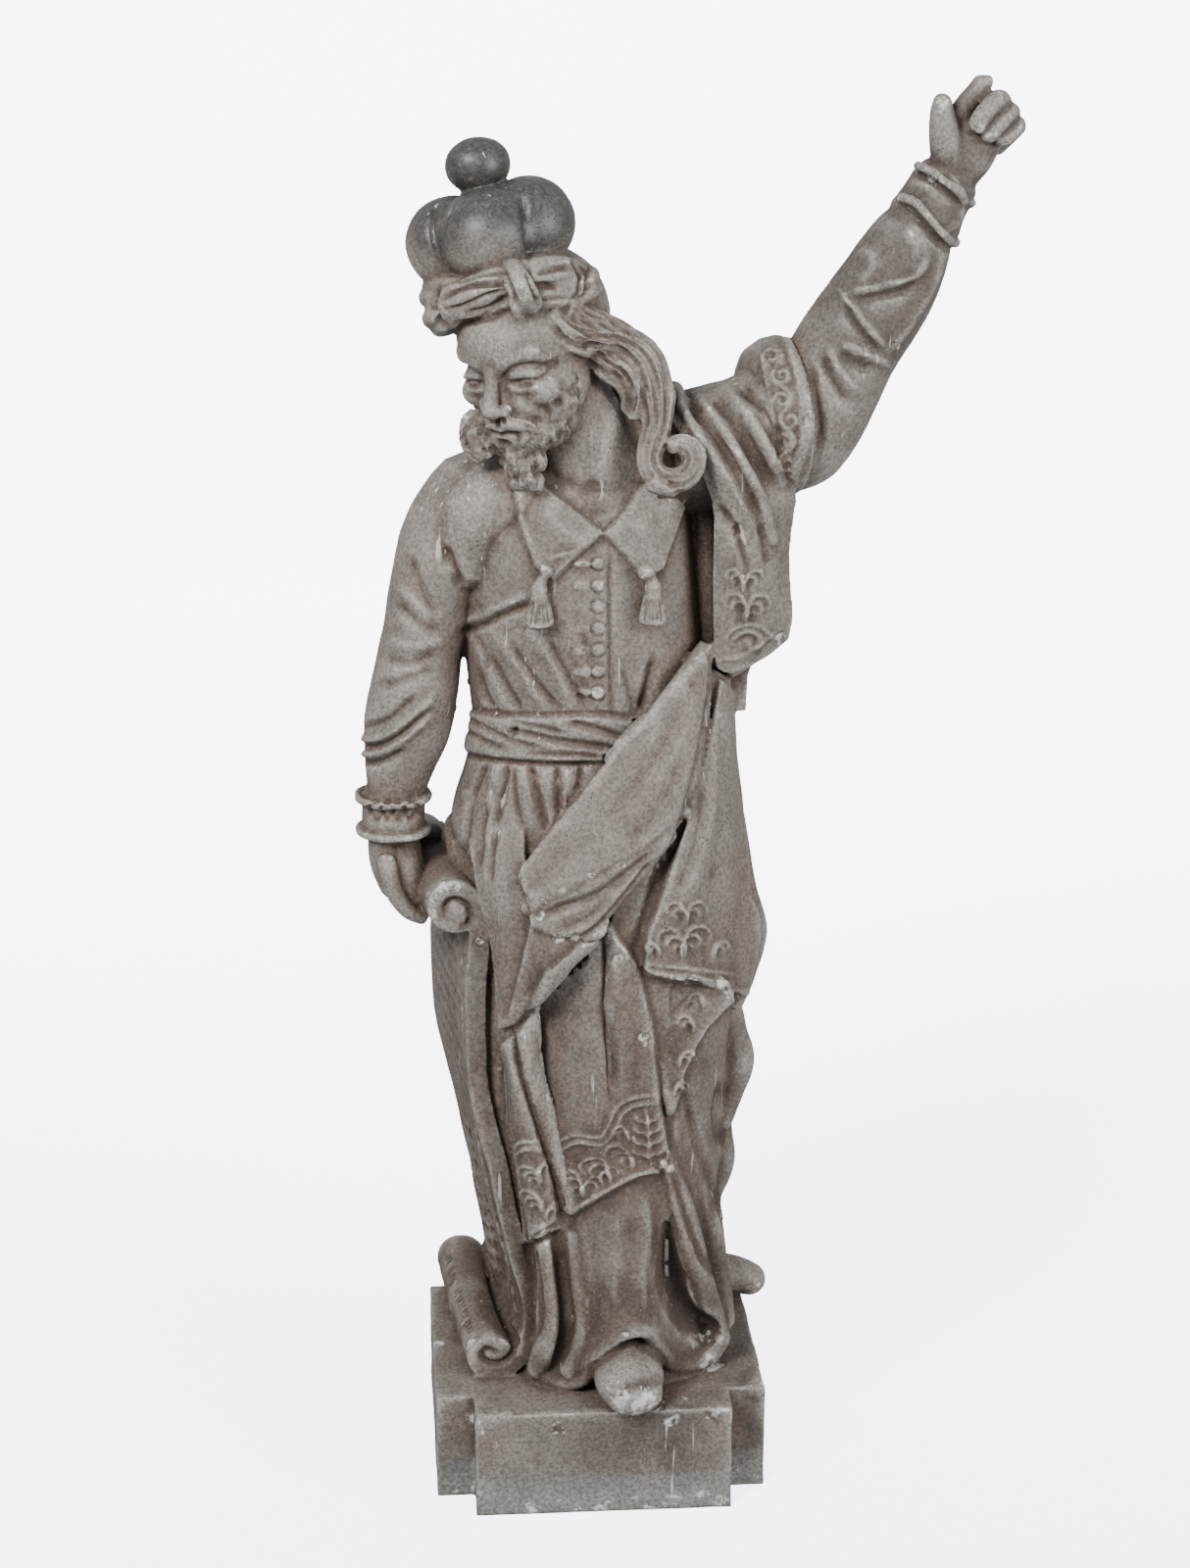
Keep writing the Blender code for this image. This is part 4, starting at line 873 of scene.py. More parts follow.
# %% Robe
def lower_robe(clay):
    # the tunic's left strip
    clay.cloth([[(-78, 440, -74), (-64, 440, -82), (-50, 430, -82)],
                [(-73, 380, -78), (-64, 380, -92), (-52, 372, -86)],
                [(-69, 300, -78), (-58, 300, -92), (-38, 296, -84)],
                [(-61, 240, -82), (-48, 240, -93), (-24, 236, -85)],
                [(-57, 186, -84), (-42, 192, -93), (-22, 203, -87)]], 12)
    clay.tube([(114, 404, -24, 13), (119, 378, -24, 14), (123, 350, -24, 17), (118, 322, -26, 13),
               (108, 296, -26, 13)], side=(1, 0, 0))
    clay.tube([(98, 320, -20, 20), (104, 284, -18, 17), (108, 256, -16, 16), (98, 222, -16, 14),
               (100, 190, -20, 15),
               (108, 120, -24, 14)], side=(1, 0, 0))
    clay.tube([(62, 262, -88, 10), (76, 215, -84, 12), (88, 165, -76, 13), (101, 120, -66, 12),
               (112, 86, -60, 10)])
    clay.tube([(86, 250, -64, 12), (98, 200, -56, 12), (108, 150, -46, 12), (114, 105, -44, 12)])
    clay.cloth([[(-62, 220, -50), (-48, 220, -68), (-32, 222, -82), (-10, 226, -88)],
                [(-54, 160, -52), (-44, 160, -68), (-28, 160, -82), (-8, 160, -96)],
                [(-50, 105, -54), (-40, 105, -72), (-24, 105, -86), (-6, 105, -102)],
                [(-58, 52, -54), (-44, 52, -76), (-22, 50, -90), (-4, 52, -104)]], 18)
    # stone in the shadow beside the scroll
    clay.cloth([[(-112, 556, -22), (-92, 556, -46)], [(-102, 470, -40), (-76, 470, -58)],
                [(-103, 400, -44), (-70, 400, -62)], [(-103, 330, -46), (-66, 330, -64)],
                [(-96, 280, -46), (-60, 280, -64)], [(-84, 220, -46), (-50, 220, -64)],
                [(-70, 160, -46), (-42, 160, -64)], [(-62, 100, -46), (-38, 100, -64)]], 16)
    clay.tube([(72, 200, -30, 22), (80, 150, -26, 23), (94, 104, -24, 20)])
    clay.tube([(-44, 190, -86, 7), (-40, 140, -93, 9), (-40, 95, -96, 10), (-48, 62, -86, 9)])
    clay.tube([(-16, 190, -94, 7), (-11, 140, -101, 9), (-9, 100, -106, 10), (-18, 62, -100, 11)])
    # the front of the robe, spreading to a hem that arches over the foot
    clay.cloth([[(-14, 276, -78), (8, 278, -84), (34, 280, -84), (62, 276, -76)],
                [(-14, 226, -88), (8, 230, -97), (34, 236, -98), (62, 234, -84)],
                [(-10, 170, -92), (10, 170, -108), (36, 170, -108), (62, 168, -88)],
                [(-10, 120, -94), (12, 118, -112), (38, 118, -112), (66, 116, -88)],
                [(-14, 74, -96), (12, 88, -114), (42, 98, -116), (72, 86, -84)],
                [(-14, 50, -98), (8, 72, -114), (42, 94, -116), (76, 64, -78)]], 18)
    clay.tube([(-46, 56, -84, 8), (-24, 48, -98, 8), (-6, 54, -106, 8), (4, 72, -112, 7), (18, 90, -116, 7),
               (36, 98, -117, 7), (50, 92, -114, 7), (60, 77, -104, 8), (70, 64, -88, 9), (86, 62, -76, 9),
               (102, 70, -68, 9), (112, 82, -62, 8)], step=4)


cape(clay)
mantle(clay)
lower_robe(clay)
print("clay points", clay.total)

# %% [markdown]
# ## Buttons and tassels
# Seven buttons with loops run down the chest. They repeat, so a small node tree sets one button,
# made of a bead and a ring, at every point of a line. Two tassels hang from the collar's points.


# %% Button tree
def button_tree():
    tree = group("buttons down a line", "Buttons", Count=("Int", 7), Bead=("Float", 4.0), Cord=("Float", 1.4),
                 Start=("Vector", None), Step=("Vector", None))
    node, calc = grower(tree)
    given = node("NodeGroupInput").outputs
    line = node("GeometryNodeMeshLine", {"Count": given["Count"], "Start Location": given["Start"],
                                         "Offset": given["Step"]})
    bead = node("GeometryNodeMeshIcoSphere", {"Subdivisions": 3, "Radius": given["Bead"]})
    loop = calc("MULTIPLY", given["Bead"], 0.8)
    ring = node("GeometryNodeCurvePrimitiveCircle", {"Resolution": 24, "Radius": loop})
    section = node("GeometryNodeCurvePrimitiveCircle", {"Resolution": 10, "Radius": given["Cord"]})
    cord = node("GeometryNodeCurveToMesh", {"Curve": ring.outputs["Curve"],
                                            "Profile Curve": section.outputs["Curve"]})
    stand = node("GeometryNodeTransform", {
        "Geometry": cord.outputs[0], "Translation": (-12, -0.6, 0.5), "Rotation": (math.radians(90), 0, 0),
        "Scale": (1.5, 0.6, 1)})
    flat = node("GeometryNodeTransform", {"Geometry": bead.outputs["Mesh"], "Scale": (1.25, 0.55, 1.25)})
    both = node("GeometryNodeJoinGeometry", {0: flat.outputs[0]})
    tree.links.new(stand.outputs[0], both.inputs[0])
    each = node("GeometryNodeInstanceOnPoints", {"Points": line.outputs["Mesh"], "Instance": both.outputs[0]})
    painted(node, each.outputs[0], given)
    return tree


def buttons():
    first, last, count = at(5, 789, -83.5), at(5, 680, -82.5), 7
    obj = placed(bpy.data.meshes.new("buttons"), "buttons")
    modifier = obj.modifiers.new("buttons", "NODES")
    modifier.node_group = button_tree()
    set_inputs(modifier, Count=count, Start=first.tolist(), Step=((last - first) / (count - 1)).tolist())
    gather(finished(obj))


def tassels():
    for x in (-43, 50):
        clay.tube([(x * 0.9, 782, -86, 4), (x, 772, -88, 5)])
        clay.ball(at(x, 769, -88), (7, 6, 5.5))
        lock([(x, 765, -87, 5), (x, 758, -88, 6.5), (x, 748, -88, 8.2), (x, 741, -88, 9), (x, 738, -88, 8)],
             strands=14, groove=0.3, twist=0.05, spacing=2)


buttons()
tassels()
print("clay points", clay.total)


# %% [markdown]
# ## Plinth
# The plinth is a low block with stepped-in corners. It goes into the same clay, so that its arrises
# come out a little soft, as on old stone.

# %% Plinth
def plinth(clay):
    w, d = PLINTH_WIDTH / 2, PLINTH_DEPTH / 2
    a, b = PLINTH_CORNER_WIDTH, PLINTH_CORNER_DEPTH
    corner = [(w, d - b), (w - a, d - b), (w - a, d)]
    outline = corner + [(-x, y) for x, y in reversed(corner)]
    outline += [(-x, -y) for x, y in corner] + [(x, -y) for x, y in reversed(corner)]
    o = np.array(outline)
    clay.rings([np.column_stack([o, np.full(len(o), z)]) for z in (0.0, PLINTH_HEIGHT)])


plinth(clay)
print("clay points", clay.total)

# %% [markdown]
# ## One skin
# A voxel remesh draws one closed skin round all the shapes, and a few rounds of smoothing take away
# the steps of its cells. Everything after this is carving: the points of the skin are moved along
# their normals.


# %% Join
def joined(mesh, cell):
    obj = placed(mesh, "joined")
    remesh = obj.modifiers.new("join", "REMESH")
    remesh.mode = "VOXEL"
    remesh.voxel_size = cell
    soft = obj.modifiers.new("soften", "SMOOTH")
    soft.factor = 0.5
    soft.iterations = 2
    return finished(obj)


skin = joined(clay.mesh(), CELL)
points = vectors(skin, "co")
normals = vectors(skin, "normal")
print("skin points", len(points))

# %% [markdown]
# ## Chisel work
# The finer work is drawn as strokes and layers. A layer lifts an area by the thickness of a cloth.
# A stroke is a ridge or a groove along a line, deepest in its middle and fading at its ends. Each is
# drawn flat, on the sheet, on the face or on the scroll, and moves the skin along its normals.


# %% Strokes and layers
def distance_to_line(places, line):
    """How far each place is from a line, and how far along the line, 0 to 1."""
    best = np.full(len(places), 1e9)
    along = np.zeros(len(places))
    lengths = np.linalg.norm(np.diff(line, axis=0), axis=1)
    start = np.concatenate([[0], np.cumsum(lengths)])
    for a, b, s, n in zip(line, line[1:], start, lengths):
        t = np.clip((places - a) @ (b - a) / max(n * n, 1e-9), 0, 1)
        d = np.linalg.norm(places - a - t[:, None] * (b - a), axis=1)
        near = d < best
        best[near] = d[near]
        along[near] = (s + t[near] * n) / start[-1]
    return best, along


def inside(places, outline):
    """Whether places lie in an outline."""
    x, z = places[:, 0], places[:, 1]
    found = np.zeros(len(places), bool)
    for (x0, z0), (x1, z1) in zip(outline, np.roll(outline, -1, 0)):
        if z0 != z1:
            cross = x0 + (z - z0) * (x1 - x0) / (z1 - z0)
            found ^= ((z0 > z) != (z1 > z)) & (x < cross)
    return found


def in_front(points, normals, places, reach=20.0, cell=6.0):
    """Which points face the eye with nothing before them."""
    key = np.round(places / cell).astype(int)
    key -= key.min(0)
    flat = key[:, 0] * (key[:, 1].max() + 1) + key[:, 1]
    nearest = np.full(flat.max() + 1, 1e9)
    depth = np.linalg.norm(points - EYE, axis=1)
    np.minimum.at(nearest, flat, depth)
    facing = np.einsum("ij,ij->i", normals, EYE - points) > 0
    return facing & (depth < nearest[flat] + reach)


def layer_move(q, layers, ramp=1.6):
    move = np.zeros(len(q))
    for height, outline in layers:
        o = np.array(outline, float)
        near = np.flatnonzero(((q > o.min(0) - 5) & (q < o.max(0) + 5)).all(1))
        edge, _ = distance_to_line(q[near], np.vstack([o, o[:1]]))
        edge = np.where(inside(q[near], o), edge, -edge)
        move[near] += height * np.clip((edge + ramp) / (2 * ramp), 0, 1)
    return move


def stroke_move(q, strokes):
    move = np.zeros(len(q))
    for height, width, lines in strokes:
        for line in lines:
            path = eased(np.array(line, float), 5 * len(line))
            low, high = path.min(0) - 1.5 * width, path.max(0) + 1.5 * width
            near = np.flatnonzero(((q > low) & (q < high)).all(1))
            d, along = distance_to_line(q[near], path)
            fade = np.minimum(1, np.minimum(along, 1 - along) * 5 + 0.25)
            if height < 0 and width <= 6:
                shape = np.clip(1.05 - d / (0.95 * width), 0, 1) ** 1.2
            else:
                shape = np.exp(-((d / (0.6 * width)) ** 2))
            move[near] += height * fade * shape
    return move


def edge_list(mesh):
    e = np.empty(len(mesh.edges) * 2, np.int32)
    mesh.edges.foreach_get("vertices", e)
    return e.reshape(-1, 2)


def averaged(values, edges, rounds):
    """Values evened out over neighbouring points, again and again."""
    a, b = edges.T
    n = np.bincount(a, minlength=len(values)) + np.bincount(b, minlength=len(values))
    n = np.maximum(n, 1)[:, None]
    v = values.reshape(len(values), -1)
    for _ in range(rounds):
        near = [np.bincount(a, v[b, k], len(v)) + np.bincount(b, v[a, k], len(v)) for k in range(v.shape[1])]
        v = 0.5 * v + 0.5 * np.stack(near, -1) / n
    return v.reshape(values.shape)


print("chisels ready")

# %% [markdown]
# ## Cloth, belt and folds
# Edges of cloth lie over each other by a few millimetres. Grooves between folds are narrow and
# deep, often ended with a drill, and the ridges beside them are soft.

# %% Layers of cloth
LAYERS = [
    # collar points
    (4.5, [(-66, 858), (-56, 820), (-46, 788), (-32, 777), (-10, 798), (9, 815), (-12, 833), (-34, 850),
           (-50, 864)]),
    (4.5, [(9, 815), (26, 796), (42, 775), (57, 784), (66, 812), (76, 842), (52, 862), (36, 848),
           (22, 828)]),
    # belt
    (5, [(-112, 670), (-79, 662), (-40, 661), (0, 661), (28, 657), (44, 660), (30, 640), (12, 620),
         (-41, 621),
         (-80, 625), (-112, 634)]),
    # front panel of the tunic and its left strip
    (7, [(-64, 378), (-40, 436), (13, 480), (40, 440), (54, 372), (60, 300), (66, 264), (57, 247),
         (39, 243),
         (18, 231), (2, 221), (-16, 209), (-25, 214), (-31, 239), (-46, 290), (-60, 340)]),
    (4, [(-78, 370), (-68, 376), (-62, 340), (-48, 290), (-34, 239), (-32, 205), (-54, 190), (-64, 240),
         (-72, 300)]),
    # the mantle's band, and the fold that hangs below it
    (2.6, [(96, 700), (91, 723), (69, 692), (48, 663), (23, 634), (-2, 600), (-40, 554), (-59, 529),
           (-61, 520),
           (-51, 489), (-40, 497), (-19, 507), (15, 527), (47, 545), (78, 574), (90, 640)]),
    (2.6, [(-60, 521), (-50, 477), (-38, 468), (-28, 464), (-9, 468), (5, 479), (22, 499), (44, 527),
           (63, 540),
           (78, 574), (47, 546), (15, 528), (-19, 508), (-40, 498), (-51, 490)]),
    # hem turned up on the hanging end, and the lip of the bell sleeve
    (2.5, [(44, 436), (84, 427), (120, 422), (124, 404), (112, 414), (92, 420), (66, 424), (48, 430)]),
    (2.5, [(158, 976), (164, 960), (172, 938), (178, 918), (181, 900), (174, 874), (166, 856), (160, 860),
           (168, 884), (172, 906), (168, 930), (160, 952), (152, 974)]),
]

# %% Folds and seams
FOLDS = [
    # placket, pocket-like slits and armpit
    (-3.5, 4, [[(14, 799), (14, 730), (16, 660)]]),
    (-6, 6, [[(51, 708), (47, 690), (41, 664)], [(-121, 806), (-114, 790), (-107, 772)]]),
    # chest folds gathered into the belt
    (-3.5, 5, [[(-94, 700), (-88, 680), (-77, 662)], [(-86, 716), (-72, 690), (-58, 665)],
               [(-66, 722), (-46, 690), (-26, 666)], [(-36, 726), (-20, 694), (-6, 668)]]),
    (2.5, 9, [[(-92, 724), (-80, 690), (-68, 665)], [(-84, 738), (-58, 700), (-40, 667)],
              [(-56, 742), (-30, 700), (-16, 668)], [(-20, 740), (-6, 700), (4, 670)]]),
    (-2, 4, [[(-104, 740), (-90, 722), (-84, 700)], [(24, 700), (30, 680), (34, 662)]]),
    # cape edge over the chest
    (3, 7, [[(-108, 742), (-90, 748), (-75, 755), (-50, 765)], [(-60, 856), (-58, 830), (-50, 800)]]),
    (-4, 5, [[(-108, 734), (-90, 740), (-75, 747), (-50, 757)]]),
    (2, 14, [[(-40, 840), (-20, 815), (0, 806)], [(34, 830), (42, 806), (50, 790)]]),
    # tendons of the neck
    (2, 14, [[(20, 930), (13, 890), (4, 850)]]),
    (-3, 18, [[(6, 826), (2, 840), (0, 862)]]),
    (-1.5, 9, [[(0, 890), (-2, 866), (4, 848)]]),
    # belt
    (-4.5, 5, [[(-64, 650), (-30, 641), (20, 632)], [(-20, 657), (4, 650), (28, 641)]]),
    (-2.5, 4, [[(-104, 664), (-80, 650), (-58, 639), (-38, 634)], [(-104, 652), (-86, 641), (-70, 634)],
               [(-70, 660), (-40, 652), (-24, 647)], [(-50, 630), (-20, 628), (10, 625)],
               [(-106, 669), (-60, 662), (0, 662), (42, 658)]]),
    (-4, 4, [[(-104, 628), (-80, 624), (-40, 620), (12, 619)]]),
    (-6, 6, [[(-65, 651), (-63, 649), (-61, 648)]]),
    # gathers under the belt
    (-5, 5, [[(-71, 621), (-74, 598), (-80, 568)], [(-52, 620), (-46, 592), (-37, 560)],
             [(-88, 584), (-92, 560), (-97, 528)]]),
    (-3.5, 4, [[(-66, 616), (-64, 590), (-56, 560)], [(-30, 619), (-28, 595), (-27, 570)],
               [(-10, 619), (-10, 602), (-17, 584)], [(-98, 604), (-103, 575), (-107, 540)],
               [(-88, 620), (-95, 604), (-100, 590)], [(-80, 560), (-84, 540), (-86, 516)]]),
    (2, 8, [[(-60, 618), (-55, 590), (-48, 556)], [(-40, 618), (-36, 590), (-32, 560)],
            [(-80, 618), (-85, 590), (-90, 550)], [(-20, 618), (-20, 596), (-22, 580)]]),
    # cape
    (-7, 8, [[(76, 926), (95, 900), (114, 870), (128, 844), (138, 820)],
             [(98, 926), (118, 900), (134, 872), (150, 846)],
             [(118, 936), (138, 914), (149, 894), (155, 874)]]),
    (4, 8, [[(64, 934), (80, 906), (97, 880), (116, 850), (130, 822)],
            [(86, 926), (104, 902), (122, 874), (138, 846)],
            [(108, 932), (128, 910), (144, 882), (152, 860)]]),
    (-4, 5, [[(104, 836), (116, 816), (128, 782)], [(136, 820), (140, 806), (144, 786)]]),
    (-6, 6, [[(117, 820), (119, 815), (121, 811)]]),
    # sleeve of the lifted arm
    (4, 6, [[(200, 1010), (214, 990), (226, 975), (237, 964)],
            [(208, 1010), (222, 1011), (240, 1016), (258, 1021),
            (270, 1038)], [(203, 968), (215, 962), (228, 956), (241, 949)],
            [(193, 964), (198, 950), (206, 938),
            (215, 929)], [(238, 960), (256, 984), (272, 1012), (281, 1038)]]),
    (-4, 6, [[(203, 1000), (214, 982), (226, 968), (232, 962)],
             [(212, 1003), (230, 1006), (248, 1010), (262, 1020)],
             [(186, 958), (192, 944), (200, 930), (208, 920)], [(200, 960), (212, 952), (226, 946)],
             [(176, 950), (182, 925), (186, 900), (184, 880)]]),
    (2.5, 12, [[(218, 1047), (225, 1030), (215, 1014)], [(253, 1062), (260, 1042), (258, 1024)]]),
    (-3, 5, [[(244, 1078), (256, 1070), (268, 1058), (284, 1042)], [(255, 1103), (268, 1098), (282, 1088),
             (299, 1074)]]),
    (3, 5, [[(284, 1102), (295, 1086), (293, 1068), (283, 1055)]]),
    # lowered arm
    (4, 6, [[(-197, 646), (-180, 644), (-162, 652), (-140, 670), (-130, 684)],
            [(-196, 632), (-178, 632), (-158, 642), (-134, 664)]]),
    (-4, 5, [[(-196, 639), (-179, 638), (-160, 647), (-136, 668)], [(-195, 625), (-178, 624), (-156, 634)],
             [(-190, 654), (-168, 662), (-146, 680)]]),
    (-3, 7, [[(-172, 716), (-152, 708), (-128, 716)], [(-150, 800), (-140, 770), (-128, 742)],
             [(-176, 690), (-156, 694), (-130, 704)], [(-160, 760), (-144, 742), (-124, 734)]]),
    (2.5, 8, [[(-168, 730), (-148, 722), (-124, 728)], [(-158, 776), (-142, 756), (-124, 746)]]),
    (-2.5, 3.5, [[(-190, 592), (-180, 574), (-171, 590), (-162, 573), (-150, 590), (-141, 576)],
                 [(-190, 574), (-181, 590), (-171, 574), (-162, 590), (-152, 574), (-142, 588)]]),
    # mantle
    (-5, 7, [[(-46, 486), (-24, 494), (0, 502), (26, 520), (54, 544)]]),
    (-2, 3.4, [[(-59, 522), (-51, 489), (-40, 497), (-19, 507), (15, 527), (47, 545), (76, 572)],
             [(-46, 475), (-28, 464), (-9, 467), (6, 478), (24, 499), (46, 528), (62, 541)]]),
    (-4, 6, [[(98, 684), (91, 637), (83, 602), (75, 567), (65, 541), (54, 520), (43, 480), (35, 446)]]),
    (1.8, 12, [[(80, 690), (72, 640), (52, 590)], [(60, 660), (40, 620), (12, 580), (-20, 540)]]),
    (-2, 12, [[(88, 700), (62, 640), (30, 596), (-10, 552), (-44, 520)],
              [(70, 620), (56, 580), (30, 550)]]),
    (-2, 9, [[(108, 650), (112, 600), (106, 540), (98, 500)], [(92, 600), (88, 550), (70, 500)]]),
    (1.6, 11, [[(100, 640), (102, 590), (92, 540), (76, 490)], [(118, 560), (120, 520), (116, 480)]]),
    # tunic and robe
    (-6, 5.5, [[(-69, 384), (-60, 340), (-46, 290), (-32, 240), (-25, 206)]]),
    (-3, 9, [[(-76, 372), (-74, 330), (-68, 290), (-60, 240), (-54, 196)]]),
    (-5, 6, [[(11, 480), (13, 433), (12, 402), (16, 370), (18, 345), (16, 320)]]),
    (1.4, 12, [[(26, 478), (24, 430), (25, 380), (28, 330)], [(-4, 460), (-2, 400), (2, 330)]]),
    (-1.2, 12, [[(38, 470), (40, 420), (38, 360), (36, 330)]]),
    (-6, 8, [[(-31, 186), (-25, 140), (-22, 105), (-30, 66)],
             [(-57, 186), (-50, 150), (-47, 120), (-50, 90)]]),
    (-5, 14, [[(62, 200), (66, 160), (74, 126), (86, 104), (102, 92)]]),
    (3, 7, [[(-40, 190), (-36, 140), (-35, 100), (-42, 62)]]),
    (-5, 7, [[(80, 318), (92, 272), (103, 236), (108, 196)], [(70, 250), (78, 215), (90, 180), (104, 150)],
             [(112, 330), (108, 300), (112, 270)]]),
    (-1.6, 10, [[(-2, 196), (2, 160), (4, 120), (0, 86)], [(32, 206), (34, 170), (30, 130)],
                [(56, 220), (58, 190), (54, 150)]]),
    (3, 8, [[(84, 310), (97, 262), (106, 226), (112, 180)], [(46, 224), (48, 190), (44, 150), (46, 110)],
            [(62, 330), (70, 300), (72, 270)]]),
    (1.6, 10, [[(20, 214), (22, 170), (20, 120)]]),
    (-2.5, 4, [[(72, 398), (80, 406), (86, 414)], [(79, 396), (86, 404), (92, 412)],
               [(-60, 190), (-48, 184), (-34, 194)]]),
    # hat: seams between the lobes and drilled grooves in the band
    (-3, 4, [[(-123, 1086), (-126, 1060), (-118, 1030)], [(-56, 1090), (-52, 1062), (-50, 1036)]]),
    (-6, 4, [[(-120, 1008), (-108, 1015), (-92, 1019), (-66, 1018)],
             [(-46, 1015), (-38, 1017), (-27, 1016)]]),
    (-5, 4, [[(-118, 999), (-104, 1001), (-86, 1009), (-68, 1014)], [(-100, 996), (-84, 999), (-68, 1008)],
             [(-72, 1032), (-64, 1012), (-60, 1002)], [(-52, 1030), (-46, 1014), (-42, 1001)],
             [(-10, 1040), (-3, 1026), (-4, 1012), (-12, 1004)],
             [(-16, 1040), (-9, 1026), (-10, 1012), (-17, 1006)],
             [(-122, 1016), (-127, 1004), (-122, 990), (-114, 984)]]),
    (-3, 3.5, [[(-112, 988), (-96, 989), (-80, 992), (-68, 997)], [(-44, 1026), (-30, 1030), (-18, 1032)],
               [(-44, 1006), (-30, 1008), (-18, 1008)], [(-110, 1020), (-90, 1026), (-72, 1028)]]),
    # spiral ends of the scroll
    (-6, 4, [[(-125, 487), (-123, 497), (-118, 501), (-111, 500), (-105, 495), (-103, 487), (-105, 480),
              (-110, 477)],
             [(-92, 165), (-84, 130), (-76, 106), (-70, 98), (-67, 88), (-71, 77), (-80, 69), (-91, 69),
              (-97, 76),
              (-93, 82), (-87, 80)]]),
]

# %% [markdown]
# ## Low-relief ornament
# Borders carry leaf ornament, of a kind common to many carved robes: sprays of paired leaves, curls
# inside one another and a wavy stem with a spiral in each bend, between plain lines.


# %% Ornament
def scrollwork(path, size):
    """A wavy stem along a path, with a spiral in each of its bends."""
    path = eased(np.array(path, float), 60)
    length = np.linalg.norm(np.diff(path, axis=0), axis=1)
    s = np.concatenate([[0], np.cumsum(length)])
    count = max(2, int(round(s[-1] / size)))
    across = unit(np.gradient(path, axis=0)) @ np.array([[0, 1], [-1, 0]])
    wave = np.sin(math.pi * count * s / s[-1])[:, None]
    lines = [(path + across * wave * size * 0.3).tolist()]
    for k in range(count):
        i = int(np.searchsorted(s, (k + 0.5) * s[-1] / count))
        hand = 1 if k % 2 else -1
        middle = path[i] + hand * across[i] * size * 0.12
        turn = np.linspace(0, 1, 16)
        a = math.atan2(across[i][1], across[i][0]) + hand * (2.4 + 2 * math.pi * 1.35 * turn)
        r = size * 0.36 * (1 - 0.78 * turn)
        lines.append(np.stack([middle[0] + r * np.cos(a), middle[1] + r * np.sin(a)], -1).tolist())
    return lines


def spray(base, tip, size, pairs):
    """A stem with pairs of upturned leaves, growing from its base to its tip."""
    base, tip = np.array(base, float), np.array(tip, float)
    along = tip - base
    up = unit(along)
    across = np.array([up[1], -up[0]])
    lines = [[tuple(base), tuple(base + along * 0.5 + across), tuple(tip)]]
    for k in range(pairs):
        root, reach = base + along * (0.05 + 0.85 * k / pairs), size * (1 - 0.4 * k / pairs)
        for side in (-1, 1):
            lines.append([tuple(root + reach * (side * across * a + up * b)) for a, b in
                          ((0, 0), (0.35, 0.25), (0.75, 0.35), (1.0, 0.6), (1.0, 0.95))])
    return lines


def curl(base, lean, size, rings=3):
    """Arcs inside one another that rise from a base and curl over to one side, like a leaf."""
    lines = []
    for k in range(rings):
        s = size * (1 - 0.3 * k)
        lines.append([(base[0] + lean * s * (a - 0.1 * k), base[1] + s * b) for a, b in
                      ((0, 0), (-0.05, 0.35), (0.05, 0.75), (0.35, 1.0), (0.7, 0.95), (0.85, 0.65),
                       (0.7, 0.42))])
    return lines


def curls(*places):
    """The arcs of several curls, each given as (x, z, lean, size) and perhaps its rings."""
    return [line for x, z, *rest in places for line in curl((x, z), *rest)]


RELIEF = [
    # lip of the bell sleeve
    (2.3, 3, scrollwork([(145, 968), (151, 944), (157, 916), (159, 888), (155, 862)], 19)),
    (2.0, 3, [[(135, 966), (140, 945), (145, 920), (148, 890), (146, 866)],
              [(157, 973), (164, 945), (169, 915), (169, 888), (164, 864)]]),
    # panel of the cape
    (2.2, 2.6, curls((128, 738, 1, 22), (126, 742, -1, 20, 2), (126, 764, 1, 17, 2),
                     (122, 768, -1, 14, 2))),
    (2.4, 3.4, [[(110, 716), (113, 728), (124, 735), (136, 735), (146, 728), (150, 722)],
                [(114, 717), (119, 726), (128, 730), (137, 727), (139, 719), (132, 716), (128, 720)]]),
    (2.0, 3, [[(106, 706), (124, 709), (143, 722), (158, 734)]]),
    # tunic border: double line, leaf sprays, hem bead
    (2.2, 3, [[(-31, 270), (-25, 281), (-12, 287), (6, 285), (14, 295), (20, 310), (32, 320), (49, 323),
               (58, 321)],
              [(-29, 262), (-22, 274), (-10, 280), (8, 278), (19, 290), (25, 304), (35, 313), (50, 316),
               (58, 315)]]),
    (2.2, 2.8, spray((47, 262), (45, 312), 12, 4)),
    (2.0, 2.5, curls((31, 252, -1, 24), (14, 238, -1, 26), (10, 238, 1, 15, 2),
                     (-7, 226, -1, 26), (-3, 228, 1, 17, 2), (-19, 222, -1, 13, 2),
                     (29, 280, -1, 14, 2))),
    (1.8, 3.5, [[(66, 266), (57, 250), (39, 246), (18, 235), (2, 225), (-16, 213)]]),
    # left strip
    (2.2, 3, [[(-67, 272), (-62, 279), (-55, 281), (-45, 279)],
              [(-66, 266), (-60, 272), (-52, 274), (-44, 272)]]),
    (2.0, 2.5, curls((-48, 240, -1, 17), (-46, 214, -1, 20), (-40, 208, 1, 13, 2),
                     (-46, 250, 1, 12, 2))),
    # hanging end of the mantle and its underside
    (2.2, 2.6, curls((78, 446, 1, 26), (76, 446, -1, 24), (80, 474, 1, 20, 2),
                     (78, 476, -1, 18, 2), (56, 446, -1, 12, 2), (104, 444, 1, 14, 2))),
    (1.9, 3, [[(46, 439), (70, 436), (96, 432), (120, 428)]]),
    (2.0, 2.5, curls((86, 376, -1, 15, 2), (76, 344, 1, 14, 2), (72, 318, 1, 12, 2),
                     (94, 398, -1, 13, 2))),
    (1.5, 2.6, [[(-40, 793), (-8, 804), (9, 821)]]),
]
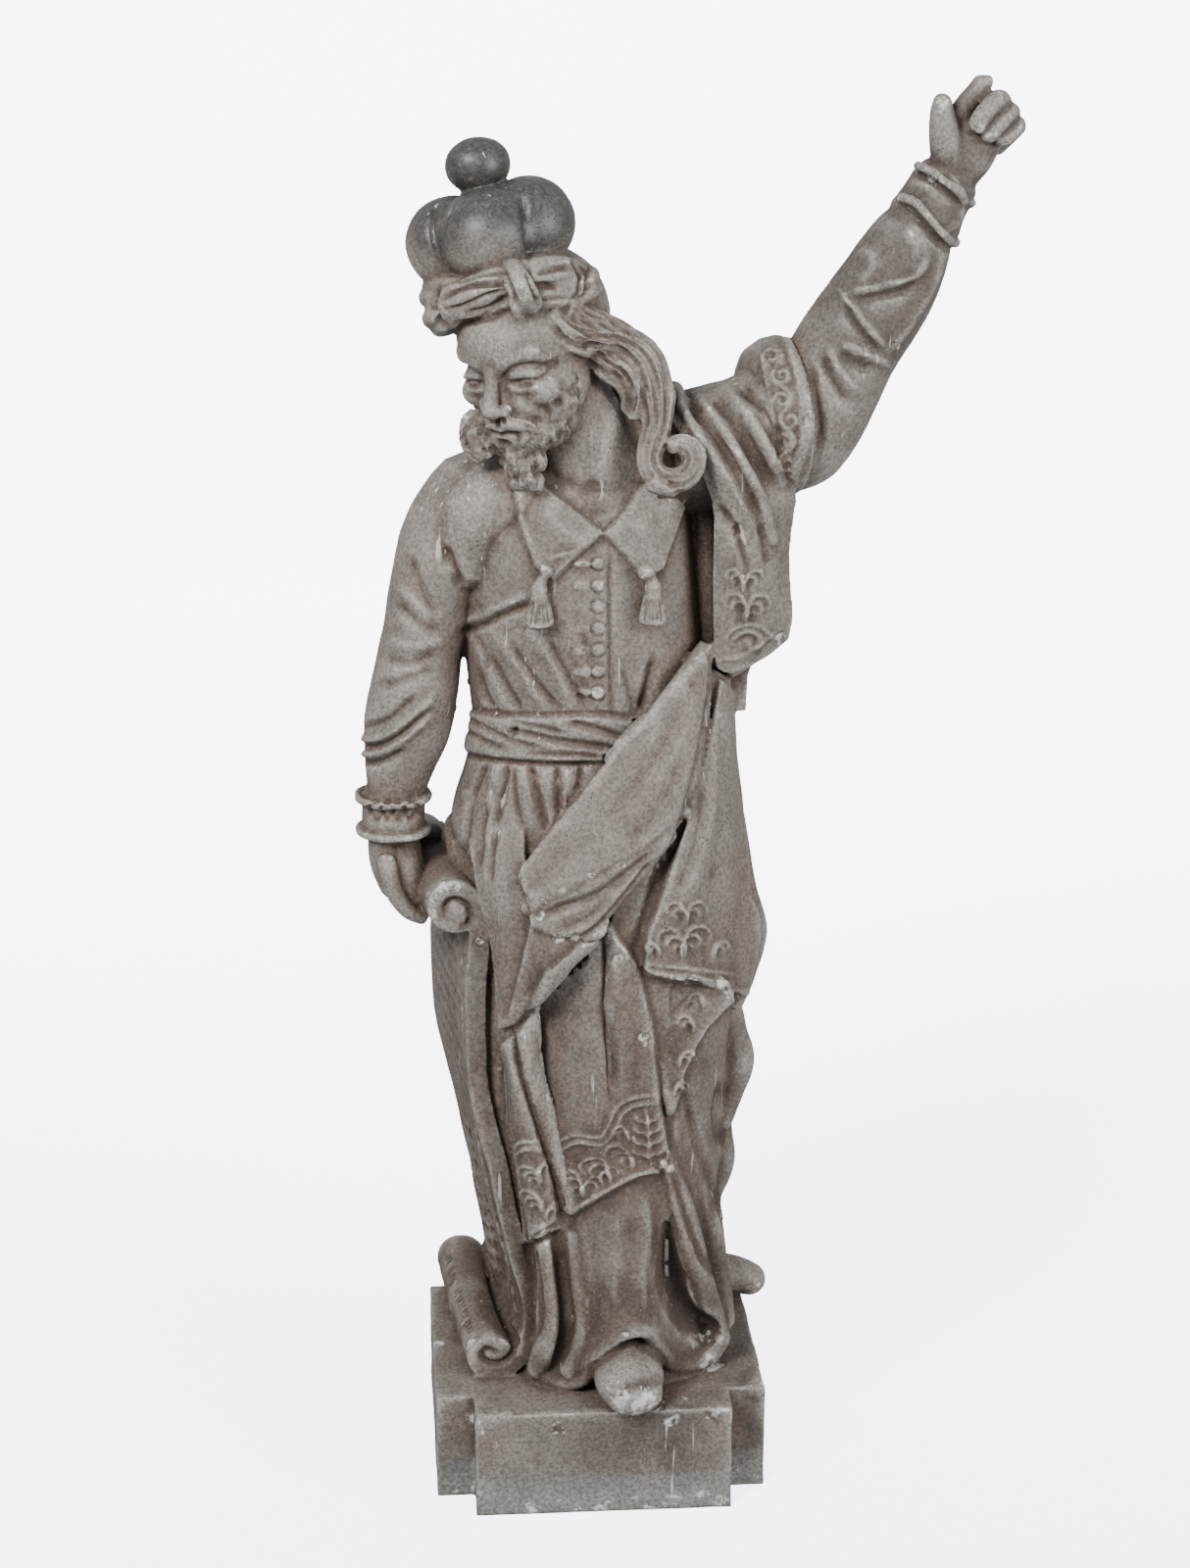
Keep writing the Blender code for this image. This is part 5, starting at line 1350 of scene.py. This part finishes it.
print("folds", sum(len(f[2]) for f in FOLDS), "relief lines", sum(len(r[2]) for r in RELIEF))

# %% [markdown]
# ## Strands of hair
# Each lock is cut lengthwise by fine grooves that keep to its line, like the marks of a pointed
# chisel drawn along it.


# %% Strand grooves
def strand_lines(rows, shares=(-0.72, -0.36, 0.0, 0.36, 0.72)):
    """Lines that keep beside the middle line of a lock, at these shares of its half width."""
    r = eased(np.array(rows, float)[:, [0, 1, 3]], 4 * len(rows))
    across = unit(np.gradient(r[:, :2], axis=0)) @ np.array([[0, 1], [-1, 0]])
    return [(r[:, :2] + across * r[:, 2:] * share).tolist() for share in shares]


STRANDS_CUT = [(-2.2, 2.8, [line for rows in LOCKS for line in strand_lines(rows)])]
turn = np.radians(np.arange(0, 361, 30))
STRANDS_CUT.append((-1.3, 1.7, [np.stack([5 + 6.2 * np.cos(turn), z + 6.2 * np.sin(turn)], -1).tolist()
                                for z in np.linspace(789, 680, 7)]))
for x in (-43, 50):
    STRANDS_CUT.append((-2, 2.2, [[(x + k, 760), (x + 1.35 * k, 738)] for k in (-6, -3, 0, 3, 6)]))

# %% Carve the front
places = seen(points)
front = np.flatnonzero(in_front(points, normals, places))
move = layer_move(places[front], LAYERS) + stroke_move(places[front], FOLDS + RELIEF + STRANDS_CUT)
moves = np.zeros((len(points), 1))
moves[front, 0] = move
moves = 0.8 * moves + 0.2 * averaged(moves, edge_list(skin), 1)
points += normals * moves
# the hollow beside the robe's middle panel goes straight in
HOLLOW, HOLLOW_DEPTH, HOLLOW_WIDTH = [(65, 196), (67, 160), (73, 126), (85, 104), (101, 92)], 17, 14
beside, down = distance_to_line(seen(points), eased(HOLLOW, 40))
taper = np.clip(0.3 + 1.6 * down, 0, 1)
bowl = np.clip(1.2 - 1.2 * (beside / (HOLLOW_WIDTH * taper)) ** 2, 0, 1)
points[:, 1] += HOLLOW_DEPTH * taper * bowl * (points[:, 1] < -30)
print("front points", len(front), "deepest cut", round(move.min(), 1))

# %% [markdown]
# ## Face
# The eyes look down under soft lids. The lines of lids, nostrils and mouth are drawn on the face's
# own flat front, left and right alike, in plain proportion.

# %% Face strokes
HALF_FACE = [
    (1.2, 8, [[(7, 9), (20, 14), (34, 12), (42, 4)]]),
    (-2.5, 8, [[(9, 3), (14, -6)], [(40, 4), (42, -6)]]),
    (-2.6, 3.4, [[(11, 1), (17, 6), (26, 8), (34, 5), (39, -1)]]),
    (1.8, 4, [[(12, -4), (18, -1), (26, 0.5), (33, -2), (37, -5)]]),
    (-2.6, 3, [[(12, -6), (18, -5.2), (26, -4.4), (33, -5.6), (38, -7)]]),
    (-1.6, 4.5, [[(18, -8.5), (26, -8.5), (32, -8.5)]]),
    (1.6, 3.4, [[(13, -8.5), (19, -12), (26, -13), (33, -11.5), (37, -8.5)]]),
    (-1.2, 5, [[(13, -14), (23, -18), (35, -15)]]),
    (-2, 4.5, [[(9, -6), (10, -14), (13, -21), (14.5, -27), (11, -31)]]),
    (-4, 4, [[(4, -30), (6, -31.5), (9, -30)]]),
    (-1.5, 6, [[(15, -27), (21, -35), (25, -44)]]),
]
WHOLE_FACE = [
    (-3.2, 3.2, [[(-13, -43.5), (-6, -42.5), (0, -43.8), (6, -42.5), (13, -43.5)]]),
    (-1.5, 4, [[(0, -32), (0, -37)]]),
    (-2.2, 6, [[(-8, -51.5), (0, -52.5), (8, -51.5)]]),
]
mirrored = [(h, w, [[(-x, z) for x, z in line] for line in lines]) for h, w, lines in HALF_FACE]
local = (points - HEAD_MIDDLE) @ HEAD_AXES
facing = normals @ HEAD_AXES
face = np.flatnonzero((local[:, 1] < -30) & (facing[:, 1] < -0.1) & (np.abs(local[:, 0]) < 50)
                      & (local[:, 2] > -62) & (local[:, 2] < 26))
edges = edge_list(skin)
middle = np.exp(-(((local[face][:, 2] + 15) / 55) ** 4))[:, None]
points[face] += 0.9 * middle * (averaged(points, edges, 6)[face] - points[face])
move = stroke_move(local[face][:, [0, 2]], HALF_FACE + mirrored + WHOLE_FACE)
points[face] += normals[face] * move[:, None]
print("face points", len(face))

# %% [markdown]
# ## Beard
# The beard is short and waved. Its strands are drawn on the head as if it were unrolled, in rows
# that follow the jaw.

# %% Beard strokes
around = np.degrees(np.arctan2(local[:, 0], -(local[:, 1] + 15)))
unrolled = np.stack([0.75 * around, local[:, 2]], -1)
draw = np.random.default_rng(11)
beard_lines = []
for k in range(-22, 23):
    u = 2.9 * k
    top = 30 * min(1, abs(u) / 63) ** 1.5 - 44 - draw.uniform(0, 5)
    if abs(u) < 15:
        top = -53.0
    z = np.arange(top, top - draw.uniform(34, 44), -2.5)
    wave = 1.5 * np.sin(2 * math.pi * z / 13 + 0.5 * math.sin(0.5 * k))
    beard_lines.append(np.stack([u + wave, z], -1).tolist())
shaven = (np.abs(around) < 88) & (local[:, 2] > -100) & (local[:, 2] < 0) & (local[:, 1] < 10)
chin = np.flatnonzero(shaven & (facing[:, 1] < 0.5))
move = stroke_move(unrolled[chin], [(-2.2, 2.1, beard_lines)])
points[chin] += normals[chin] * move[:, None]
print("beard strokes", len(beard_lines))

# %% [markdown]
# ## Writing on the scroll
# The outer face of the scroll carries worn writing. It is shown as rows of short shallow strokes
# that are no letters.

# %% Writing
draw = np.random.default_rng(7)
writing = []
for z in np.arange(470, 120, -15):
    for y in np.arange(-60, 108, 6.5):
        if draw.random() < 0.12:
            continue
        top, low = z + draw.uniform(2, 5), z - draw.uniform(2, 6)
        line = [(y + draw.uniform(-1, 1), top), (y + draw.uniform(-1.5, 1.5), z),
                (y + draw.uniform(-1, 1), low)]
        writing.append(line)
        if draw.random() < 0.35:
            writing.append([(y - 2, z + draw.uniform(-3, 4)), (y + 3, z + draw.uniform(-3, 4))])
outward = normals @ np.array([-0.99, -0.13, 0])
page = np.flatnonzero((outward > 0.6) & (points[:, 0] < -40) & (points[:, 1] > -66) & (points[:, 1] < 112)
                      & (points[:, 2] > 115) & (points[:, 2] < 480) & (points[:, 0] > -150))
move = stroke_move(points[page][:, [1, 2]], [(-1.3, 2.4, writing)])
points[page] += normals[page] * move[:, None]
print("writing strokes", len(writing), "on", len(page), "points")

# %% [markdown]
# ## Wear
# Hand-cut stone is never true. A slow unevenness goes over all of it, sharp edges are rubbed down
# where they stand out, and blows have left chips on the plinth's corners and the edges of cloth.


# %% Unevenness and chips
def waves(points, size, seed, count=28):
    """A smooth random field, about -1 to 1, whose swellings are about this size."""
    draw = np.random.default_rng(seed)
    total = np.zeros(len(points))
    for _ in range(count):
        way = unit(draw.normal(size=3)) * 2 * math.pi / (size * draw.uniform(1.4, 3.2))
        total += np.sin(points @ way + draw.uniform(0, 2 * math.pi))
    return total / math.sqrt(count / 2) / 1.6


# place on the sheet and size of each chip
CHIPS = [(-118, 514, 9), (-134, 506, 7), (-136, 490, 6), (-96, 466, 5), (-44, 487, 6), (-40, 496, 5),
         (-24, 507, 6),
         (2, 518, 5), (24, 529, 5), (-30, 466, 6), (-14, 465, 6), (62, 255, 9), (54, 249, 7), (118, 410, 7),
         (108, 420, 6), (84, 424, 5), (30, 30, 14), (50, 28, 14), (40, 22, 16), (177, 908, 7),
         (156, 722, 6),
         (120, 404, 5), (-136, 88, 7), (-106, 14, 12), (100, 88, 8), (-106, 88, 9), (106, 60, 9),
         (108, 10, 10),
         (-150, 20, 12), (146, 84, 8), (-80, 92, 6), (30, 92, 5), (70, 4, 8), (-30, 3, 9), (-44, 196, 6),
         (304, 1180, 5), (276, 1160, 6), (44, 372, 4), (45, 366, 4), (22, 446, 4), (272, 1100, 5)]


def chip_field(points, visible):
    q = seen(points)
    uneven = waves(points, 7, 5)
    field = np.zeros(len(points))
    for x, z, size in CHIPS:
        near = np.flatnonzero((np.abs(q[:, 0] - x) < 2 * size) & (np.abs(q[:, 1] - z) < 2 * size) & visible)
        d = np.linalg.norm(q[near] - (x, z), axis=1) / size + 0.45 * uneven[near]
        field[near] = np.maximum(field[near], np.clip(1.6 - 1.6 * d, 0, 1))
    return field


edges = edge_list(skin)
swell = 18
out = np.einsum("ij,ij->i", points - averaged(points, edges, swell), normals)
sharp = np.clip(out - 0.35, 0, 2)
visible = np.zeros(len(points), bool)
visible[front] = True
chips = chip_field(points, visible)
rub = sharp * np.clip(0.35 + 0.6 * waves(points, 16, 2), 0, 1.2) * np.where(points[:, 2] < 96, 0.5, 1)
slow = 0.35 * waves(points, 26, 3) + 0.12 * waves(points, 9, 4)
points += normals * (slow - rub - chips * (0.8 + 1.6 * sharp))[:, None]
floor = points[:, 2] < 6
points[floor, 2] = np.clip(points[floor, 2], 0, None)
points[points[:, 2] < 1.2, 2] = 0
skin.vertices.foreach_set("co", points.astype(np.float32).ravel())
skin.update()
print("rubbed edges on", int((rub > 0.2).sum()), "points")

# %% [markdown]
# ## The finished mesh
# The carved skin has far more facets than flat places need, so they are merged where little is
# lost, and the figure is set into metres. It is kept just inside the box of the solid model.


# %% Merge facets
def merged(mesh, facets):
    obj = placed(mesh, "merged")
    fewer = obj.modifiers.new("fewer facets", "DECIMATE")
    fewer.ratio = min(1.0, facets / (2 * len(mesh.polygons)))
    fewer.use_collapse_triangulate = True
    return finished(obj)


stone = merged(skin, MOST_FACETS)
points = vectors(stone, "co")
low, high = np.array(cad_box) * 1000
points = np.clip(points, low, high)
stone.vertices.foreach_set("co", (points * MM).astype(np.float32).ravel())
stone.update()
stone.name = "prophet stone"
statue = placed(stone, "prophet_stone")
stone.shade_smooth()
print("triangles", len(stone.polygons))

# %% [markdown]
# ## What the surface remembers
# Stone gathers patina where hands and rain don't reach, and brightens where it is rubbed; its deepest
# recesses and grooves are also darkened as painted shade. Rays sent out from each point tell how deep it
# lies, the bulge of the surface tells where it is rubbed, and both are kept as attributes of the mesh,
# with the chips, the repair line across the hips and the dark of the hat. What goes by height, as on the
# plinth, is left to the material.


# %% Attributes
def depth_of_recess(mesh, points, normals, rays, reach):
    """The share of rays from each point that meet the stone again, nearer ones counting more."""
    tree = BVHTree.FromPolygons(points.tolist(), [list(p.vertices) for p in mesh.polygons])
    draw = np.random.default_rng(1)
    total = np.zeros(len(points))
    for _ in range(rays):
        way = unit(unit(draw.normal(size=(len(points), 3))) + normals * 1.05)
        start = points + normals * 0.8
        for i, (s, w) in enumerate(zip(start.tolist(), way.tolist())):
            hit = tree.ray_cast(s, w, reach)[3]
            if hit is not None:
                total[i] += 1 - 0.6 * hit / reach
    return total / rays


def keep(mesh, name, values):
    attribute = mesh.attributes.new(name, "FLOAT", "POINT")
    attribute.data.foreach_set("value", np.asarray(values, np.float32))


normals = vectors(stone, "normal")
edges = edge_list(stone)
RAYS, REACH = (12), 70.0
recess = depth_of_recess(stone, points, normals, RAYS, REACH)
recess = averaged(recess, edges, 2)
out = np.einsum("ij,ij->i", points - averaged(points, edges, 6), normals)
length = np.linalg.norm(points[edges[:, 0]] - points[edges[:, 1]], axis=1)
share = np.bincount(edges.ravel(), np.repeat(length, 2)) / np.maximum(np.bincount(edges.ravel()), 1)
bulge = averaged(out * np.clip(2.3 / averaged(share[:, None], edges, 1)[:, 0], 0.3, 1.6) ** 0.8, edges, 1)
q = seen(points)
visible = in_front(points, normals, q)
line = eased([(-72, 617), (-55, 610), (-40, 606), (-20, 603), (0, 602), (45, 598), (72, 604)], 40)
crack, _ = distance_to_line(q, line)
lobe = np.linalg.norm((points - on_hat(-4, 0, 76)) / (82, 82, 70), axis=1)
# recess drives the brown patina and, where it is deepest, painted shade
keep(stone, "recess", recess)
keep(stone, "worn", np.clip(bulge * 1.3, -1, 1))
# groove marks concave places, which the material darkens as painted shade
keep(stone, "groove", np.clip(-1.6 * out - 0.15, 0, 1))
keep(stone, "chip", chip_field(points, visible))
keep(stone, "repair", np.clip(1 - crack / 2.2, 0, 1) * visible)
keep(stone, "dark", np.clip((1.05 - lobe) * 6, 0, 1))
print("recess from", round(recess.min(), 2), "to", round(recess.max(), 2))

# %% [markdown]
# ## Soapstone
# Soapstone is a soft grey-green stone, rubbed pale and a little glossy where it stands out. Brown
# earthy patina fills the recesses and blots the lower parts, the hat is dark from handling, and the
# plinth's foot is washed grey. The deepest recesses and the grooves are darkened further as painted shade.
# Fine pores and specks are in the material; what is larger is in the mesh.


# %% Material
def soapstone():
    material = bpy.data.materials.new("soapstone")
    material.use_nodes = True
    node, calc = grower(material.node_tree)
    link = material.node_tree.links.new
    shader = material.node_tree.nodes["Principled BSDF"]
    place = node("ShaderNodeTexCoord").outputs["Object"]

    def times(a, b):
        return calc("MULTIPLY", a, b)

    def less(a, b):
        return calc("SUBTRACT", a, b)

    def mix(amount, a, b, blend="MIX"):
        made = node("ShaderNodeMix", {0: amount, 6: a, 7: b}, data_type="RGBA", blend_type=blend)
        return made.outputs[2]

    def attribute(name):
        return node("ShaderNodeAttribute", attribute_name=name).outputs["Fac"]

    def noise(scale, detail=4.0, rough=0.6, stretch=None, turn=0.0):
        where = place
        if stretch:
            warp = node("ShaderNodeMapping", {"Scale": stretch, "Rotation": (0, turn, 0), "Vector": place})
            where = warp.outputs[0]
        made = node("ShaderNodeTexNoise", {"Scale": scale, "Detail": detail, "Roughness": rough,
                                           "Vector": where})
        return made.outputs["Fac"]

    def ramp(value, low, high):
        made = node("ShaderNodeMapRange", {"Value": value, "From Min": low, "From Max": high},
                    interpolation_type="SMOOTHSTEP")
        return made.outputs[0]

    def near(middle, size):
        """1 about a place on the stone, falling to 0 around it."""
        warp = node("ShaderNodeMapping", {"Location": middle, "Scale": size, "Vector": place},
                    vector_type="TEXTURE")
        far = node("ShaderNodeVectorMath", {0: warp.outputs[0]}, operation="LENGTH")
        return ramp(far.outputs["Value"], 1.3, 0.3)

    recess, worn, chip = attribute("recess"), attribute("worn"), attribute("chip")
    blots, cloud, grain = noise(11, 5), noise(38, 5, 0.65), noise(330, 3, 0.7)
    drips = noise(14, 4, 0.6, (1, 1, 0.22))
    pores = node("ShaderNodeTexVoronoi", {"Scale": 260, "Vector": place}, feature="F1")
    pit = ramp(pores.outputs["Distance"], 0.26, 0.10)
    pit = times(pit, ramp(noise(24, 3), 0.46, 0.62))
    x, _, z = node("ShaderNodeSeparateXYZ", {0: place}).outputs
    block = ramp(z, 0.099, 0.094)
    lower = times(ramp(z, 0.62, 0.16), less(1.0, block))
    # the near-black colour in this row is painted shade for the deepest recesses and grooves
    fresh, recess_shade, pale = (0.40, 0.395, 0.37, 1), (0.020, 0.013, 0.010, 1), (0.185, 0.170, 0.152, 1)

    grey = mix(ramp(cloud, 0.3, 0.7), (0.083, 0.072, 0.062, 1), (0.108, 0.094, 0.081, 1))
    brown = mix(ramp(cloud, 0.3, 0.7), (0.074, 0.051, 0.038, 1), (0.097, 0.069, 0.052, 1))
    low_brown = mix(ramp(cloud, 0.3, 0.7), (0.040, 0.026, 0.019, 1), (0.060, 0.040, 0.029, 1))
    patina = calc("ADD", times(recess, 1.1), times(less(blots, 0.5), 1.8))
    patina = calc("ADD", patina, times(less(drips, 0.5), 1.2))
    patina = less(patina, times(worn, 0.4))
    patina = ramp(less(patina, times(block, 0.15)), -0.25, 0.8)
    colour = mix(patina, grey, brown)
    colour = mix(times(lower, ramp(patina, -0.3, 0.5)), colour, low_brown)
    # painted shade: the deepest recesses and the grooves are darkened where shade falls
    colour = mix(times(ramp(recess, 0.45, 1.0), 0.8), colour, recess_shade)
    colour = mix(times(attribute("groove"), 0.8), colour, (0.030, 0.019, 0.014, 1))
    arm = times(ramp(x, 0.15, 0.19), ramp(z, 0.94, 0.97))
    under_foot = times(near((0.035, -0.155, 0.075), (0.09, 0.05, 0.05)), block)
    under_foot = times(under_foot, ramp(noise(26, 4, 0.65, (1, 1, 0.4)), 0.34, 0.56))
    colour = mix(times(calc("MAXIMUM", arm, under_foot), 0.6), colour, (0.030, 0.023, 0.019, 1))
    # dark streaks down the block and the lower figure
    soot = times(ramp(noise(9, 4, 0.6, (1, 1, 0.35)), 0.5, 0.68), ramp(z, 0.45, 0.1))
    colour = mix(times(soot, 0.7), colour, (0.026, 0.020, 0.017, 1))
    # rubbed ridges are paler
    worn = times(worn, less(1.0, attribute("dark")))
    colour = mix(times(ramp(worn, 0.15, 0.85), 0.6), colour, pale)
    # the hat's lobes are dark and handled
    dark = times(attribute("dark"), ramp(noise(30, 4), 0.1, 0.5))
    colour = mix(times(dark, 0.9), colour, mix(ramp(noise(90, 4, 0.7), 0.3, 0.7),
                                               (0.017, 0.017, 0.017, 1), (0.034, 0.032, 0.030, 1)))
    colour = mix(times(ramp(z, 0.038, 0.028), 0.6), colour, (0.098, 0.096, 0.094, 1))
    # grain, dark specks and light crystals
    colour = mix(0.6, colour, mix(ramp(grain, 0.34, 0.66), (0.22, 0.22, 0.22, 1),
                                  (0.78, 0.78, 0.78, 1)), "OVERLAY")
    colour = mix(times(pit, 0.7), colour, (0.015, 0.012, 0.010, 1))
    colour = mix(times(ramp(noise(420, 2), 0.64, 0.74), 0.5), colour, (0.20, 0.19, 0.175, 1))
    # fresh chips and the repair line
    rough_chip = times(ramp(chip, 0.2, 0.8), ramp(noise(110, 4, 0.75), 0.42, 0.58))
    colour = mix(times(rough_chip, 0.8), colour, fresh)
    arris = times(ramp(worn, 0.8, 1.0), ramp(noise(75, 4, 0.7), 0.55, 0.63))
    colour = mix(times(arris, 0.7), colour, (0.42, 0.41, 0.385, 1))
    # scratches: long thin streaks in a few places
    for turn, patch in ((0.5, 7.0), (-0.9, 9.0)):
        lines = ramp(noise(150, 2, 0.5, (1, 1, 0.06), turn), 0.68, 0.71)
        streak = times(lines, ramp(noise(patch, 2), 0.55, 0.62))
        colour = mix(times(streak, 0.7), colour, (0.36, 0.355, 0.335, 1))
    seam = times(attribute("repair"), ramp(noise(70, 3), 0.4, 0.6))
    colour = mix(times(seam, 0.75), colour, (0.24, 0.175, 0.145, 1))
    link(colour, shader.inputs["Base Color"])
    shader.inputs["Specular IOR Level"].default_value = 0.35

    gloss = less(0.78, times(ramp(worn, 0.0, 0.6), 0.16))
    gloss = less(gloss, times(attribute("dark"), 0.36))
    gloss = calc("ADD", gloss, times(less(grain, 0.5), 0.3), clamp=True)
    link(gloss, shader.inputs["Roughness"])

    relief = calc("ADD", times(grain, 0.35), times(noise(120, 4, 0.65), 0.65))
    relief = less(relief, times(pit, 0.9))
    bump = node("ShaderNodeBump", {"Strength": 0.45, "Distance": 0.0012, "Height": relief})
    link(bump.outputs[0], shader.inputs["Normal"])
    return material


stone.materials.clear()
stone.materials.append(soapstone())
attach(statue, "root")
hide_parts("prophet_statue")
print("statue dressed")
